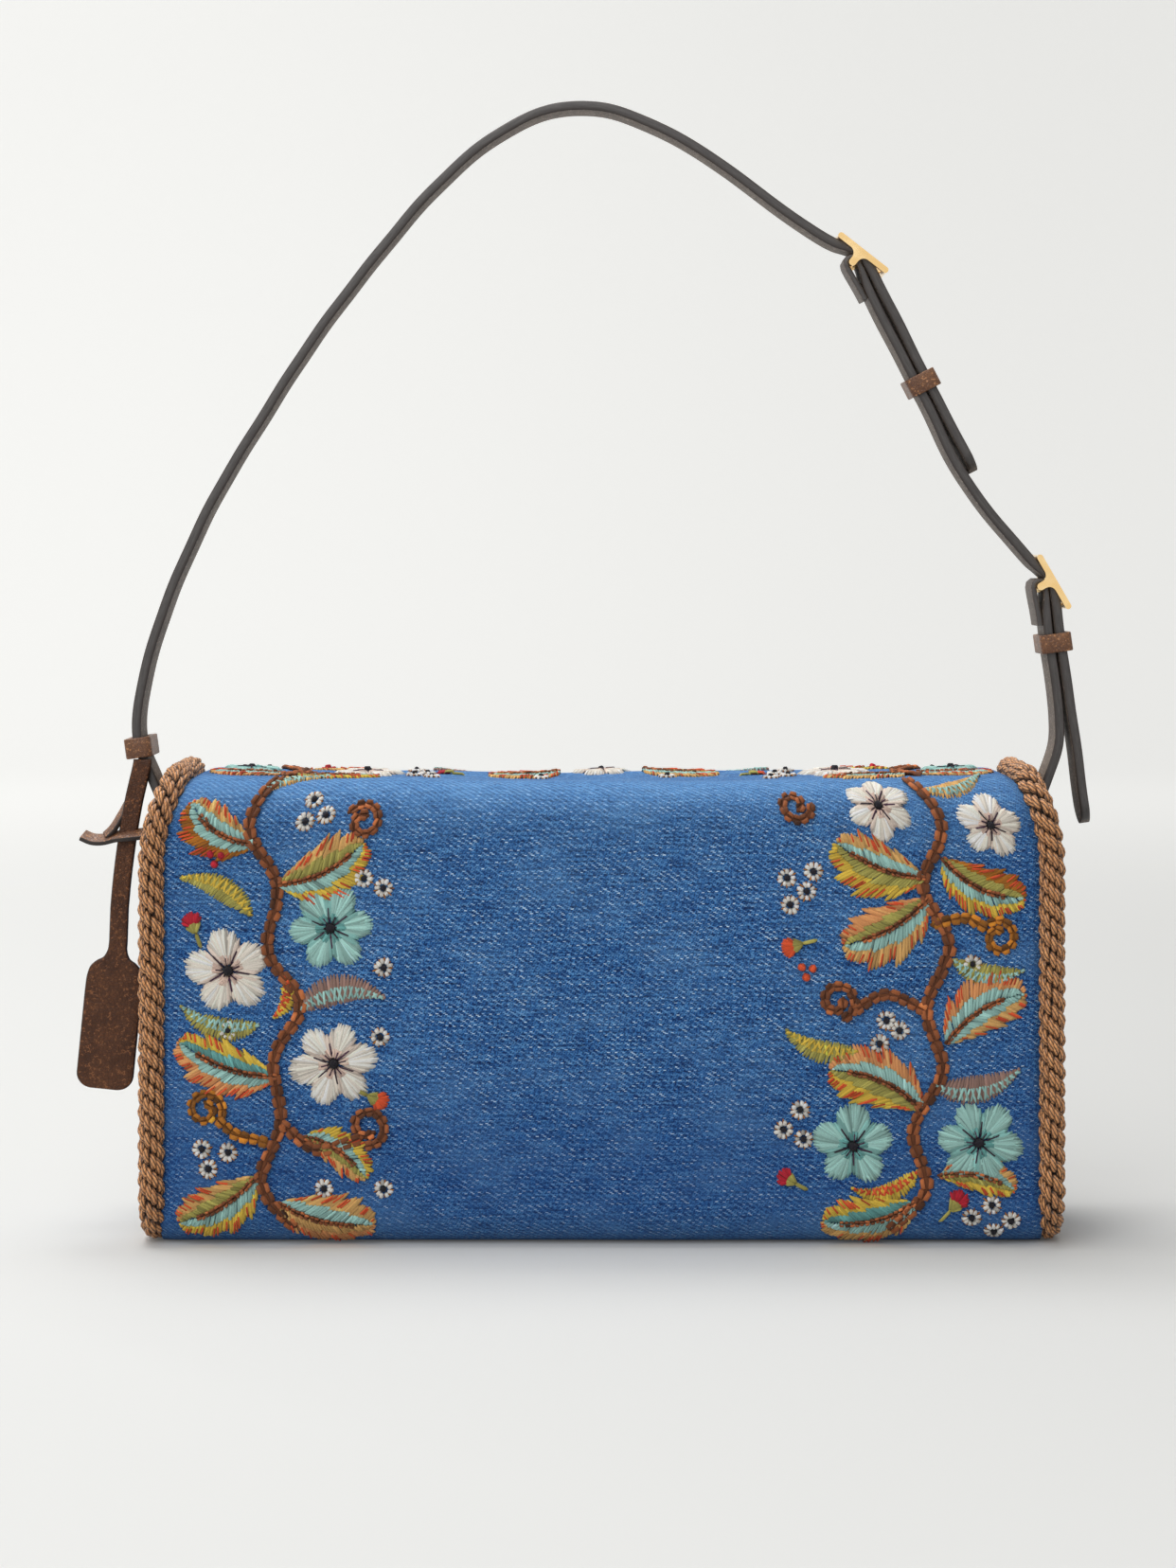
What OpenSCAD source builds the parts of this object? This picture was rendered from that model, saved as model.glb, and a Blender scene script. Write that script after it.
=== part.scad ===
// Flap shoulder bag: denim shell with rope-trimmed edges, side gussets, a leather strap in three
// lengths joined by two buckles, and a leather tag. The back of the bag faces -Y and the flap +Y.

/* [Body] */
// Width of the back, base and flap denim, without the rope
body_w = 264; // [230:1:300]
// Height from the base to the top of the flap
body_h = 142; // [136:1:160]
// Depth from the outside of the back to the outside of the front panel
body_d = 60; // [54:1:70]
// Thickness of a denim wall with its interfacing
wall = 2.2; // [1.8:0.1:2.6]
// Outside radius where the base turns up into the back and front
base_r = 13; // [9:0.5:16]
// Outside radius where the back turns over into the flap
top_r = 14; // [11:0.5:16]
// How far each side edge draws in at the top
pinch = 7.5; // [3:0.5:8]
// Height of the band in which the side edges draw in
pinch_h = 26; // [20:1:34]
// How far the bag's mouth lies below the top of the flap
mouth_drop = 17.5; // [17:0.5:18]

/* [Flap] */
// Space between the front panel and the flap, which the snap fills
flap_gap = 3.9; // [3.8:0.1:5]
// Height of the flap's lower edge above the base
flap_low = 27; // [22:1:60]
// Radius of the flap's lower corners
flap_corner_r = 22; // [12:1:30]
// Thickness of the leather lining glued under the flap
flap_lining_t = 0.9; // [0.7:0.1:1.1]

/* [Rope trim] */
// Diameter of the twisted rope along the edges
rope_d = 8.4; // [6:0.2:9]

/* [Inside] */
// Thickness of a gusset
gusset_t = 2; // [1.5:0.1:2.4]
// How far a gusset is set in from the edges of the denim
gusset_inset = 1.4; // [1:0.1:2.4]
// How far the top of a gusset lies below the top of the flap
gusset_drop = 15; // [14:0.5:16]
// Thickness of the lining bag
lining_t = 0.8; // [0.6:0.1:1]
// Thickness of the stiff board in the base
board_t = 1.5; // [1:0.1:2.4]
// Width of the slip pocket
pocket_w = 140; // [90:5:180]
// Height of the slip pocket
pocket_h = 66; // [50:1:80]

/* [Strap] */
// Width of the strap leather
strap_w = 15; // [12:0.5:17]
// Thickness of the strap leather
strap_t = 2.9; // [2.4:0.1:3.1]
// Half of the distance between the two legs of the strap
strap_spread = 143.5; // [141:0.5:150]
// Height of the top of the strap above its rivets
strap_rise = 231; // [210:1:250]
// How far the strap's rivets lie below the top of the flap
rivet_drop = 24; // [21:0.5:25]
// Length of each strap end beyond its buckle
tail_len = 75; // [66:1:82]
// Space between two strap layers that lie on each other
layer_gap = 0.7; // [0.4:0.1:1]
// Width of a keeper loop along the strap
keeper_w = 5.8; // [4:0.2:6]
// Thickness of a keeper loop's leather
keeper_t = 1.4; // [1:0.1:1.6]

/* [Metal] */
// Radius of a buckle's centre bar
bar_r = 1; // [0.8:0.05:1.1]
// Thickness of a buckle's plate and rails
plate_t = 1.9; // [1.6:0.1:2.1]
// Length of a buckle's plate above its bar
plate_up = 8.8; // [8:0.2:10]
// Length of a buckle's plate below its bar
plate_down = 10.4; // [10:0.2:12]
// Slope of the upper buckle below the horizontal, in degrees
upper_slope = 38; // [36:1:40]
// Slope of the lower buckle below the horizontal, in degrees
lower_slope = 60; // [58:1:62]
// Radius of a rivet's shank
rivet_r = 1.5; // [1.2:0.1:1.8]
// Radius of a rivet's head
rivet_head_r = 4; // [3.5:0.1:5]
// Radius of the magnetic snap
snap_r = 8.5; // [7:0.5:10]
// Height of the snap above the base
snap_z = 52; // [48:1:70]

/* [Tag] */
// Width of the tag's neck
neck_w = 5.9; // [5:0.1:7]
// Width of the tag's paddle
paddle_w = 17.8; // [14:0.2:18]
// Length of the tag's paddle
paddle_l = 39; // [30:1:44]
// Thickness of the tag's two layers of leather
tag_t = 1.8; // [1.4:0.1:2.2]

/* [Hidden] */

// Face counts of round parts, and steps in each stretch of a curve
round_fn = 36;
rope_sides = 12;
curve_steps = 5;
arc_step = 15;
// Overrun of a cut past the face that it opens
over = 2;
// Clearances: sewn edges, moving leather, and a pin in its hole
seam = 0.1;
slack = 0.3;
pin_clear = 0.05;

half_w = body_w / 2;
mouth_h = body_h - mouth_drop;
gusset_h = body_h - gusset_drop;
rivet_z = body_h - rivet_drop;
rope_r = rope_d / 2;
back_y = -body_d / 2;
front_y = body_d / 2;
base_flat = front_y - base_r;
flap_in = front_y + flap_gap;
flap_out = flap_in + wall;
flap_mid = flap_out - wall / 2;
top_z = body_h - top_r;
top_back = back_y + top_r;
top_front = flap_out - top_r;
hinge_angle = 135;
hinge = [top_back + top_r * cos(hinge_angle), top_z + top_r * sin(hinge_angle)];
// Space left in the wall and in the rope on each side of the fold
fold_gap = 0.15;
rope_split_share = 0.19;
rope_split = rope_split_share * rope_d;
fold_angle = fold_gap * 180 / (PI * top_r);
rope_gap = 0.22;
rope_out = rope_r + rope_gap;

function mix(a, b, f) = a + (b - a) * f;
function ease(f) = f * f * (3 - 2 * f);
function half_width(z) = half_w - pinch * pow(max(0, (z - body_h + pinch_h) / pinch_h), 2);

// A point and its fellow are joined by a spline whose knots follow the spacing of its points
function knot(a, b) = sqrt(norm(b - a));
function spline_at(a, b, c, d, f) =
    let (t1 = knot(a, b), t2 = t1 + knot(b, c), t3 = t2 + knot(c, d), t = mix(t1, t2, f))
    let (p = mix(a, b, t / t1), q = mix(b, c, f), r = mix(c, d, (t - t2) / (t3 - t2)))
    mix(mix(p, q, t / t2), mix(q, r, (t - t1) / (t3 - t1)), f);
function spline(p) =
    let (n = len(p) - 1, e = concat([2 * p[0] - p[1]], p, [2 * p[n] - p[n - 1]]))
    concat([for (i = [0:n - 1], k = [0:curve_steps - 1])
        spline_at(e[i], e[i + 1], e[i + 2], e[i + 3], k / curve_steps)], [p[n]]);

// A ribbon's points are [x, z, thickness]; side is 1 or -1
function ribbon_side(p, side) = [for (i = [0:len(p) - 1])
    let (a = p[max(i - 1, 0)], b = p[min(i + 1, len(p) - 1)], run = [b[0] - a[0], b[1] - a[1]])
    [p[i][0], p[i][1]] + side * p[i][2] / 2 * [-run[1], run[0]] / norm(run)];
function reversed(p) = [for (i = [len(p) - 1:-1:0]) p[i]];

// The leather ribbon stands on edge: its width runs along Y
module ribbon(p, width) {
    rotate([90, 0, 0]) linear_extrude(width, center = true)
        polygon(concat(ribbon_side(p, 1), reversed(ribbon_side(p, -1))));
}

// A section of the bag, drawn in Y and Z, runs along X
module along_x(length) {
    rotate([90, 0, 90]) linear_extrude(length, center = true) children();
}

// Keeps what lies within the drawn-in side edges
module within_edges(inset, low) {
    steps = [for (k = [0:2 * curve_steps]) body_h - pinch_h * (1 - k / (2 * curve_steps))];
    right = concat([[half_w - inset, low]], [for (z = steps) [half_width(z) - inset, z]],
        [[half_width(body_h) - inset, body_h + over]]);
    left = reversed([for (p = right) [-p[0], p[1]]]);
    intersection() {
        children();
        rotate([90, 0, 0]) linear_extrude(2 * body_d, center = true) polygon(concat(right, left));
    }
}

// A quarter or less of a bent wall, from angle a to angle b
module bend(centre, r, t, a, b) {
    reach = 2 * r;
    translate(centre) intersection() {
        difference() {
            circle(r, $fn = round_fn);
            circle(r - t, $fn = round_fn);
        }
        polygon([[0, 0], reach * [cos(a), sin(a)],
            reach * [cos((a + b) / 2), sin((a + b) / 2)], reach * [cos(b), sin(b)]]);
    }
}

module back_panel() {
    color("steelblue") within_edges(0, 0) along_x(body_w) {
        translate([back_y, base_r]) square([wall, top_z - base_r]);
        bend([top_back, top_z], top_r, wall, hinge_angle + fold_angle, 180);
    }
}

module base_panel() {
    color("steelblue") along_x(body_w) {
        translate([-base_flat, 0]) square([2 * base_flat, wall]);
        bend([-base_flat, base_r], base_r, wall, 180, 270);
        bend([base_flat, base_r], base_r, wall, 270, 360);
    }
}

module front_panel() {
    color("steelblue") along_x(body_w)
        translate([front_y - wall, base_r]) square([wall, mouth_h - base_r]);
}

// The flap wall and its lining are one outline, inset by what lies over it
module flap_section(depth, t, from, low) {
    bend([top_back, top_z], top_r - depth, t, 90, from);
    translate([top_back, body_h - depth - t]) square([top_front - top_back, t]);
    bend([top_front, top_z], top_r - depth, t, 0, 90);
    translate([flap_out - depth - t, low]) square([t, top_z - low]);
}

// Keeps what lies above the flap's round lower corners
module within_flap(inset) {
    r = flap_corner_r - inset;
    low = flap_low + inset;
    corner_x = half_w - flap_corner_r;
    within_edges(inset, flap_low) intersection() {
        children();
        rotate([90, 0, 0]) linear_extrude(2 * body_d, center = true) {
            translate([-half_w, flap_low + flap_corner_r]) square([body_w, body_h]);
            translate([-corner_x, low]) square([2 * corner_x, body_h]);
            for (side = [-1, 1]) translate([side * corner_x, flap_low + flap_corner_r])
                circle(r, $fn = round_fn);
        }
    }
}

module flap_panel() {
    color("steelblue") within_flap(0) along_x(body_w)
        flap_section(0, wall, hinge_angle - fold_angle, flap_low);
}

module flap_lining() {
    // Stops short of the fold, and of the sewn edge all round
    margin = 2.4;
    stop_angle = hinge_angle - 10;
    color("saddlebrown") within_flap(margin) along_x(body_w)
        flap_section(wall + seam, flap_lining_t, stop_angle, flap_low);
}

// The inside of the bag between back and front, rounded at the base
module inside_outline(inset, low, high, r) {
    y = front_y - wall - inset;
    translate([-y, low + r]) square([2 * y, high - low - r]);
    translate([-y + r, low]) square([2 * (y - r), r + over]);
    for (side = [-1, 1]) translate([side * (y - r), low + r]) circle(r, $fn = round_fn);
}

gusset_out = half_w - gusset_inset;
gusset_in = gusset_out - gusset_t;
inner_r = base_r - wall - seam;

module rivet_hole(r) {
    translate([0, 0, rivet_z]) rotate([0, 90, 0])
        cylinder(r = r, h = 2 * body_w, center = true, $fn = round_fn);
}

module gusset(side) {
    // The top edge dips between the front and the back
    dip_r = body_d;
    dip = 2;
    color("steelblue") difference() {
        translate([side * (gusset_out - gusset_t / 2), 0, 0]) along_x(gusset_t) difference() {
            inside_outline(seam, wall + seam, gusset_h, inner_r);
            translate([0, gusset_h - dip + dip_r]) circle(dip_r, $fn = 3 * round_fn);
        }
        rivet_hole(rivet_r + pin_clear);
    }
}

board_top = wall + seam + board_t;

module base_board() {
    color("tan") translate([-gusset_in + seam, -base_flat, wall + seam])
        cube([2 * (gusset_in - seam), 2 * base_flat, board_t]);
}

lining_x = gusset_in - seam;
lining_low = board_top + seam;
lining_high = mouth_h - seam;
lining_r = inner_r - board_t;

module lining() {
    color("peru") difference() {
        along_x(2 * lining_x) inside_outline(2 * seam, lining_low, lining_high, lining_r);
        along_x(2 * (lining_x - lining_t)) union() {
            inside_outline(2 * seam + lining_t, lining_low + lining_t, lining_high, lining_r - lining_t);
            translate([-front_y / 2, lining_high - over]) square([front_y, 2 * over]);
            translate([-front_y + wall + 2 * seam + lining_t, lining_high - over])
                square([2 * (front_y - wall - 2 * seam - lining_t), 2 * over]);
        }
        rivet_hole(rivet_r + pin_clear);
    }
}

// A slip pocket on the inside of the back: a leaf on a low rim that is open at the top
module inner_pocket() {
    leaf_t = lining_t;
    rim = 1;
    rim_w = 3;
    low = body_h / 3;
    face = back_y + wall + 2 * seam + lining_t + seam;
    color("peru") difference() {
        translate([-pocket_w / 2, face, low]) cube([pocket_w, leaf_t + rim, pocket_h]);
        translate([rim_w - pocket_w / 2, face - over, low + rim_w])
            cube([pocket_w - 2 * rim_w, over + rim, pocket_h]);
    }
}

// A tube swept along rows of [point, surface normal], with the direction of each end given
function tube_ring(rows, run, i) =
    let (t = run / norm(run), u = rows[i][1], w = cross(t, u), v = w / norm(w), n = cross(v, t))
    [for (k = [0:rope_sides - 1]) let (q = 360 * k / rope_sides)
        rows[i][0] + rope_r * (cos(q) * n + sin(q) * v)];

module rope(rows, first, last) {
    n = len(rows);
    s = rope_sides;
    runs = [for (i = [0:n - 1]) i == 0 ? first : i == n - 1 ? last : rows[i + 1][0] - rows[i - 1][0]];
    color("peru") polyhedron(
        points = [for (i = [0:n - 1]) each tube_ring(rows, runs[i], i)],
        faces = concat([[for (k = [0:s - 1]) s - 1 - k]], [[for (k = [0:s - 1]) (n - 1) * s + k]],
            [for (i = [0:n - 2], k = [0:s - 1]) each let (a = i * s + k, b = i * s + (k + 1) % s)
                [[a, b, b + s], [a, b + s, a + s]]]));
}

// Points of the rope beside the bend of the back into the flap, between two angles
rope_arc_r = top_r - wall / 2;
split_angle = rope_split * 180 / (PI * rope_arc_r);
function edge_row(y, z, a) =
    [[half_width(z - wall / 2 * max(0, sin(a))) + rope_out, y, z], [0, cos(a), sin(a)]];
function bend_rows(centre, r, from, to) = [for (k = [0:3])
    let (a = mix(from, to, k / 3)) edge_row(centre[0] + r * cos(a), centre[1] + r * sin(a), a)];
function flipped(v) = [-v[0], v[1], v[2]];
function mirrored(rows) = [for (row = rows) [flipped(row[0]), flipped(row[1])]];
function around(a) = [0, -sin(a), cos(a)];

// The straight edge below a bend starts with the rest of the drawn-in band
function side_rows(y, low, a) = let (mid = body_h - pinch_h)
    concat([for (f = [1 / 3, 2 / 3, 1]) edge_row(y, mix(top_z, mid, f), a)], [edge_row(y, mix(mid, low, 1 / 2), a)]);

// The body rope runs down the back edge, round the base and under it to the front
body_rope_r = base_r;
body_rope_y = back_y + wall / 2;
body_rope_end = base_flat;
body_rows = concat(
    bend_rows([top_back, top_z], rope_arc_r, hinge_angle + split_angle, 180),
    side_rows(body_rope_y, base_r, 180),
    bend_rows([body_rope_y + body_rope_r, rope_out + body_rope_r], body_rope_r, 180, 270),
    [edge_row(0, rope_out, 270), edge_row(body_rope_end, rope_out, 270)]);

// The flap rope runs over the top, down the sides and along the flap's lower edge
flap_turn = (flap_corner_r + rope_out) / cos(arc_step / 2);
flap_turn_x = half_w - flap_corner_r;
flap_turn_z = flap_low + flap_corner_r;
function front_row(x, z) = [[x, flap_mid, z], [0, 1, 0]];
flap_rows = concat(
    bend_rows([top_back, top_z], rope_arc_r, hinge_angle - split_angle, 90),
    bend_rows([top_front, top_z], rope_arc_r, 90, 0),
    side_rows(flap_mid, flap_turn_z, 0),
    [for (a = [0:arc_step:90]) front_row(flap_turn_x + flap_turn * cos(a), flap_turn_z - flap_turn * sin(a))],
    [front_row(0, flap_low - rope_out)]);
flap_rows_left = mirrored([for (i = [len(flap_rows) - 2:-1:0]) flap_rows[i]]);

module rope_left() {
    rope(reversed(mirrored(body_rows)), -around(270), -around(hinge_angle + split_angle));
}

module rope_right() {
    rope(body_rows, around(hinge_angle + split_angle), around(270));
}

module rope_flap() {
    rope(concat(flap_rows, flap_rows_left), -around(hinge_angle - split_angle),
        around(hinge_angle - split_angle));
}

// The snap: a cup on the front panel, the ring magnet in it, and a stud on the flap's lining
snap_cup_h = 1.6;
snap_skin = 0.5;
snap_recess_r = 4.6;
magnet_wall = 0.5;
magnet_clear = 0.1;
snap_plate_h = 1;
boss_clear = 3 * slack;
snap_boss_r = snap_recess_r - boss_clear;

module on_y(y) {
    translate([0, y, snap_z]) rotate([-90, 0, 0]) children();
}

module snap_socket() {
    cup_in = snap_cup_h - snap_skin;
    color("gold") on_y(front_y) difference() {
        cylinder(r = snap_r, h = snap_cup_h, $fn = round_fn);
        translate([0, 0, snap_skin]) cylinder(r = snap_recess_r, h = snap_cup_h, $fn = round_fn);
        translate([0, 0, snap_skin / 2]) difference() {
            cylinder(r = snap_r - magnet_wall, h = cup_in - snap_skin / 2, $fn = round_fn);
            translate([0, 0, -over]) cylinder(r = snap_recess_r + magnet_wall, h = snap_cup_h + 2 * over, $fn = round_fn);
        }
    }
}

module snap_magnet() {
    h = snap_cup_h - snap_skin - snap_skin / 2 - 2 * magnet_clear;
    color("dimgray") on_y(front_y + snap_skin / 2 + magnet_clear) difference() {
        cylinder(r = snap_r - magnet_wall - magnet_clear, h = h, $fn = round_fn);
        translate([0, 0, -over]) cylinder(r = snap_recess_r + magnet_wall + magnet_clear, h = h + 2 * over, $fn = round_fn);
    }
}

module snap_stud() {
    face = flap_in - seam - flap_lining_t;
    plate_y = face - snap_plate_h;
    boss_y = front_y + snap_skin + slack;
    color("gold") {
        on_y(plate_y) cylinder(r = snap_r, h = snap_plate_h, $fn = round_fn);
        on_y(boss_y) cylinder(r = snap_boss_r, h = face - boss_y, $fn = round_fn);
    }
}

// The strap. Points on it are [x, z, thickness], and shares are of strap_spread and strap_rise
strap_foot = gusset_out + slack + strap_t / 2;
function strap_point(s) = [s[0] * strap_spread, rivet_z + s[1] * strap_rise, strap_t];

// The long piece, from above its left rivet to the upper buckle
arch_shares = [[-0.968, 0.095], [-0.998, 0.139], [-1.003, 0.173], [-0.991, 0.225], [-0.937, 0.338],
    [-0.853, 0.454], [-0.748, 0.567], [-0.629, 0.681], [-0.490, 0.797], [-0.352, 0.895],
    [-0.231, 0.960], [-0.110, 0.995], [-0.008, 0.998], [0.089, 0.981], [0.210, 0.942],
    [0.333, 0.887], [0.436, 0.841]];
// The short piece, from below the lower buckle to above its right rivet
short_shares = [[0.988, 0.177], [0.986, 0.144], [0.968, 0.107], [0.944, 0.065]];
upper_bar = strap_point([0.541, 0.789]);
lower_bar = strap_point([0.946, 0.355]);
upper_tail_turn = 24.8;
lower_tail_turn = 22;
upper_tail = upper_slope + upper_tail_turn;
lower_tail = lower_slope + lower_tail_turn;

// Layers at a buckle, measured from the centre of its bar
fold_t_share = 0.48;
turn_t_share = 0.58;
hump_t_share = 0.9;
run_m_share = 0.24;
fold_t = strap_t * fold_t_share;
turn_t = strap_t * turn_t_share;
hump_t = strap_t * hump_t_share;
run_m = strap_t * run_m_share;
tail_m = run_m + strap_t + layer_gap;
fold_out = bar_r + seam + fold_t;
hump_n = fold_out + seam + hump_t / 2;
plate_out = hump_n + hump_t / 2;
plate_in = plate_out - plate_t;
end_bar_n = plate_in - seam - strap_t / 2;
end_bar_u = plate_up - plate_t / 2;
run_start_share = 1.06;
turn_len_share = 0.8;
run_start = run_start_share * plate_down;
turn_len = turn_len_share * strap_w;

// Buckle coordinates: u runs down along the plate and n out of it. Tail coordinates s and m are
// the same along the strap's end below the buckle
function turned(bar, slope, a, b, t) =
    [bar[0] + a * cos(slope) + b * sin(slope), bar[1] - a * sin(slope) + b * cos(slope), t];

// The threaded end: under the plate's upper edge, over the bar, and straight along the tail
function threaded(bar, slope, tail) = concat(
    [turned(bar, slope, -end_bar_u, end_bar_n, strap_t)],
    [turned(bar, slope, -end_bar_u / 2, mix(end_bar_n, hump_n, 0.62), mix(strap_t, hump_t, 0.5))],
    [turned(bar, slope, 0, hump_n, hump_t)],
    [for (f = [0.06, 0.14, 0.3, 0.5, 0.75, 1]) turned(bar, tail, f * tail_len, tail_m, strap_t)]);

// The folded end: the turned-in leaf, round the bar, and down the run beneath the tail
function fold_r(a) = bar_r + seam + mix(turn_t, fold_t, ease(max(0, (180 - a) / 180))) / 2;
function folded(bar, tail) = concat(
    [for (f = [1, 0.66, 0.33]) turned(bar, tail, f * turn_len, -fold_r(180), turn_t)],
    [for (a = [180:-arc_step:0]) let (r = fold_r(a))
        turned(bar, tail, -r * sin(a), r * cos(a), 2 * (r - bar_r - seam))],
    [for (f = [0.25, 0.5, 0.75, 1])
        turned(bar, tail, f * run_start, mix(fold_r(0), run_m, ease(f)), mix(fold_t, strap_t, ease(f)))]);
function run(bar, tail, from, to) = [for (s = [from, (from + to) / 2, to]) turned(bar, tail, s, run_m, strap_t)];

// Places along the straight run, as shares of the tail
tail_slack_share = 0.053;
short_run_share = 0.373;
upper_keeper_share = 0.573;
lower_keeper_share = 0.24;
tail_slack = tail_slack_share * tail_len;
short_run_end = short_run_share * tail_len;
long_path = concat(
    spline(concat([[-strap_foot, rivet_z + strap_w / 2, strap_t]], [for (s = arch_shares) strap_point(s)],
        threaded(upper_bar, upper_slope, upper_tail))));
foot_left = [[-strap_foot, rivet_z - strap_w / 2, strap_t]];
middle_path = concat(folded(upper_bar, upper_tail),
    spline(concat(run(upper_bar, upper_tail, run_start + tail_slack, tail_len),
        threaded(lower_bar, lower_slope, lower_tail))));
short_path = concat(folded(lower_bar, lower_tail),
    spline(concat(run(lower_bar, lower_tail, run_start + tail_slack, short_run_end),
        [for (s = short_shares) strap_point(s)], [[strap_foot, rivet_z + strap_w / 2, strap_t]])),
    [[strap_foot, rivet_z - strap_w / 2, strap_t]]);

// Cuts a strap end round, to an arc a little wider than the strap
end_share = 0.54;
end_r = end_share * strap_w;

module round_end() {
    difference() {
        translate([0, -strap_w]) square([2 * strap_w, 2 * strap_w]);
        circle(end_r, $fn = 2 * round_fn);
    }
}

module round_tip(bar, tail) {
    tip = turned(bar, tail, tail_len - end_r, tail_m, 0);
    translate([tip[0], 0, tip[1]]) rotate([0, tail, 0])
        linear_extrude(4 * strap_t, center = true) round_end();
}

module round_foot() {
    translate([0, 0, rivet_z + end_r - strap_w / 2]) rotate([0, 90, 0])
        linear_extrude(2 * body_w, center = true) round_end();
}

// The prong passes through a slot in the threaded end, and its eye lies in a slot in the fold
prong_w = 1.8;
eye_wall = 0.9;
eye_r = bar_r + pin_clear + eye_wall;

module at_buckle(bar, slope) {
    translate([bar[0], 0, bar[1]]) rotate([0, slope, 0]) rotate([90, 0, 0]) children();
}

module strap_slot(bar, slope) {
    slot_w = prong_w + 2 * slack;
    slot_from = -0.8;
    slot_to = 5.4;
    at_buckle(bar, slope) translate([slot_from * bar_r, 0, 0])
        linear_extrude(slot_w, center = true) square([(slot_to - slot_from) * bar_r, 2 * hump_n]);
}

module fold_slot(bar, tail) {
    slot_w = prong_w + 3 * slack;
    reach = eye_r + slack;
    at_buckle(bar, tail) linear_extrude(slot_w, center = true) {
        circle(reach, $fn = round_fn);
        translate([-2 * reach, -2 * reach]) square([3 * reach, 4 * reach]);
    }
}

module strap_long() {
    color("saddlebrown") difference() {
        ribbon(concat(foot_left, long_path), strap_w);
        round_tip(upper_bar, upper_tail);
        round_foot();
        rivet_hole(rivet_r + pin_clear);
        strap_slot(upper_bar, upper_slope);
        punched(upper_bar, upper_tail);
    }
}

// Spare holes in the tail
module punched(bar, tail) {
    hole_r = prong_w / 2 + pin_clear;
    pitch = strap_w;
    first = tail_len - 2 * pitch;
    for (k = [0:1]) {
        p = turned(bar, tail, first + k * pitch, tail_m, 0);
        translate([p[0], 0, p[1]]) rotate([0, tail, 0])
            cylinder(r = hole_r, h = 2 * strap_t, center = true, $fn = round_fn);
    }
}

module strap_middle() {
    color("saddlebrown") difference() {
        ribbon(middle_path, strap_w);
        round_tip(lower_bar, lower_tail);
        fold_slot(upper_bar, upper_tail);
        strap_slot(lower_bar, lower_slope);
    }
}

module strap_short() {
    color("saddlebrown") difference() {
        ribbon(short_path, strap_w);
        round_foot();
        rivet_hole(rivet_r + pin_clear);
        fold_slot(lower_bar, lower_tail);
    }
}

// The buckle: two T-shaped rails, an end bar at each end, and the bar that carries the fold
rail_in = strap_w / 2 + slack;
tip_r = bar_r * 1.15;
end_bar_r = 0.48 * plate_t;
tongue_t = 1;
tongue_n = plate_out - tongue_t / 2 + pin_clear;
notch_floor = tongue_n - tongue_t / 2 - seam;

// A rail: a plate edge with a filleted stem that reaches the bar
module rail_profile() {
    fillet_r = 2.2 * bar_r;
    from = plate_t / 2 - plate_up;
    to = plate_down - plate_t / 2;
    mid = plate_in + plate_t / 2;
    right = concat([[tip_r, 0]], [for (a = [0:arc_step:90])
        [tip_r + fillet_r * (1 - cos(a)), plate_in - fillet_r * (1 - sin(a))]], [[tip_r + fillet_r, mid]]);
    translate([from, plate_in]) square([to - from, plate_t]);
    for (u = [from, to]) translate([u, mid]) circle(plate_t / 2, $fn = round_fn);
    circle(tip_r, $fn = round_fn);
    polygon(concat(right, reversed([for (p = right) [-p[0], p[1]]])));
}

module buckle(bar, slope) {
    color("gold") at_buckle(bar, slope) difference() {
        union() {
            for (side = [-1, 1]) translate([0, 0, side * (rail_in + plate_t / 2)])
                linear_extrude(plate_t, center = true) rail_profile();
            cylinder(r = bar_r, h = 2 * rail_in + plate_t, center = true, $fn = round_fn);
            for (u = [plate_t / 2 - plate_up, plate_down - plate_t / 2])
                translate([u, plate_in + plate_t / 2, 0])
                    cylinder(r = end_bar_r, h = 2 * rail_in + plate_t, center = true, $fn = round_fn);
        }
        // The notch in which the prong's tip rests
        translate([plate_down - 2 * plate_t, notch_floor, -prong_w / 2 - seam])
            cube([3 * plate_t, plate_t, prong_w + 2 * seam]);
    }
}

// The prong: an eye round the bar, and a tongue that rises through the strap and lies along it
tongue_shares = [[0.9, 1.1], [1.9, 2.5], [3.0, 3.9]];
tongue_level = 5.2;

module prong(bar, slope) {
    rise = [for (s = tongue_shares) [s[0] * bar_r, s[1] * bar_r * tongue_n / (4.7 * bar_r), tongue_t]];
    flat = [[tongue_level * bar_r, tongue_n, tongue_t], [mix(tongue_level * bar_r, plate_down, 1 / 2), tongue_n, tongue_t],
        [plate_down - plate_t / 4, tongue_n, tongue_t]];
    path = spline(concat(rise, flat));
    color("gold") at_buckle(bar, slope) difference() {
        union() {
            cylinder(r = eye_r, h = prong_w, center = true, $fn = round_fn);
            linear_extrude(prong_w, center = true)
                polygon(concat(ribbon_side(path, 1), reversed(ribbon_side(path, -1))));
        }
        cylinder(r = bar_r + pin_clear, h = 2 * prong_w, center = true, $fn = round_fn);
    }
}

// A keeper loop round both layers of strap
upper_keeper_s = upper_keeper_share * tail_len;
lower_keeper_s = lower_keeper_share * tail_len;

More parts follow.
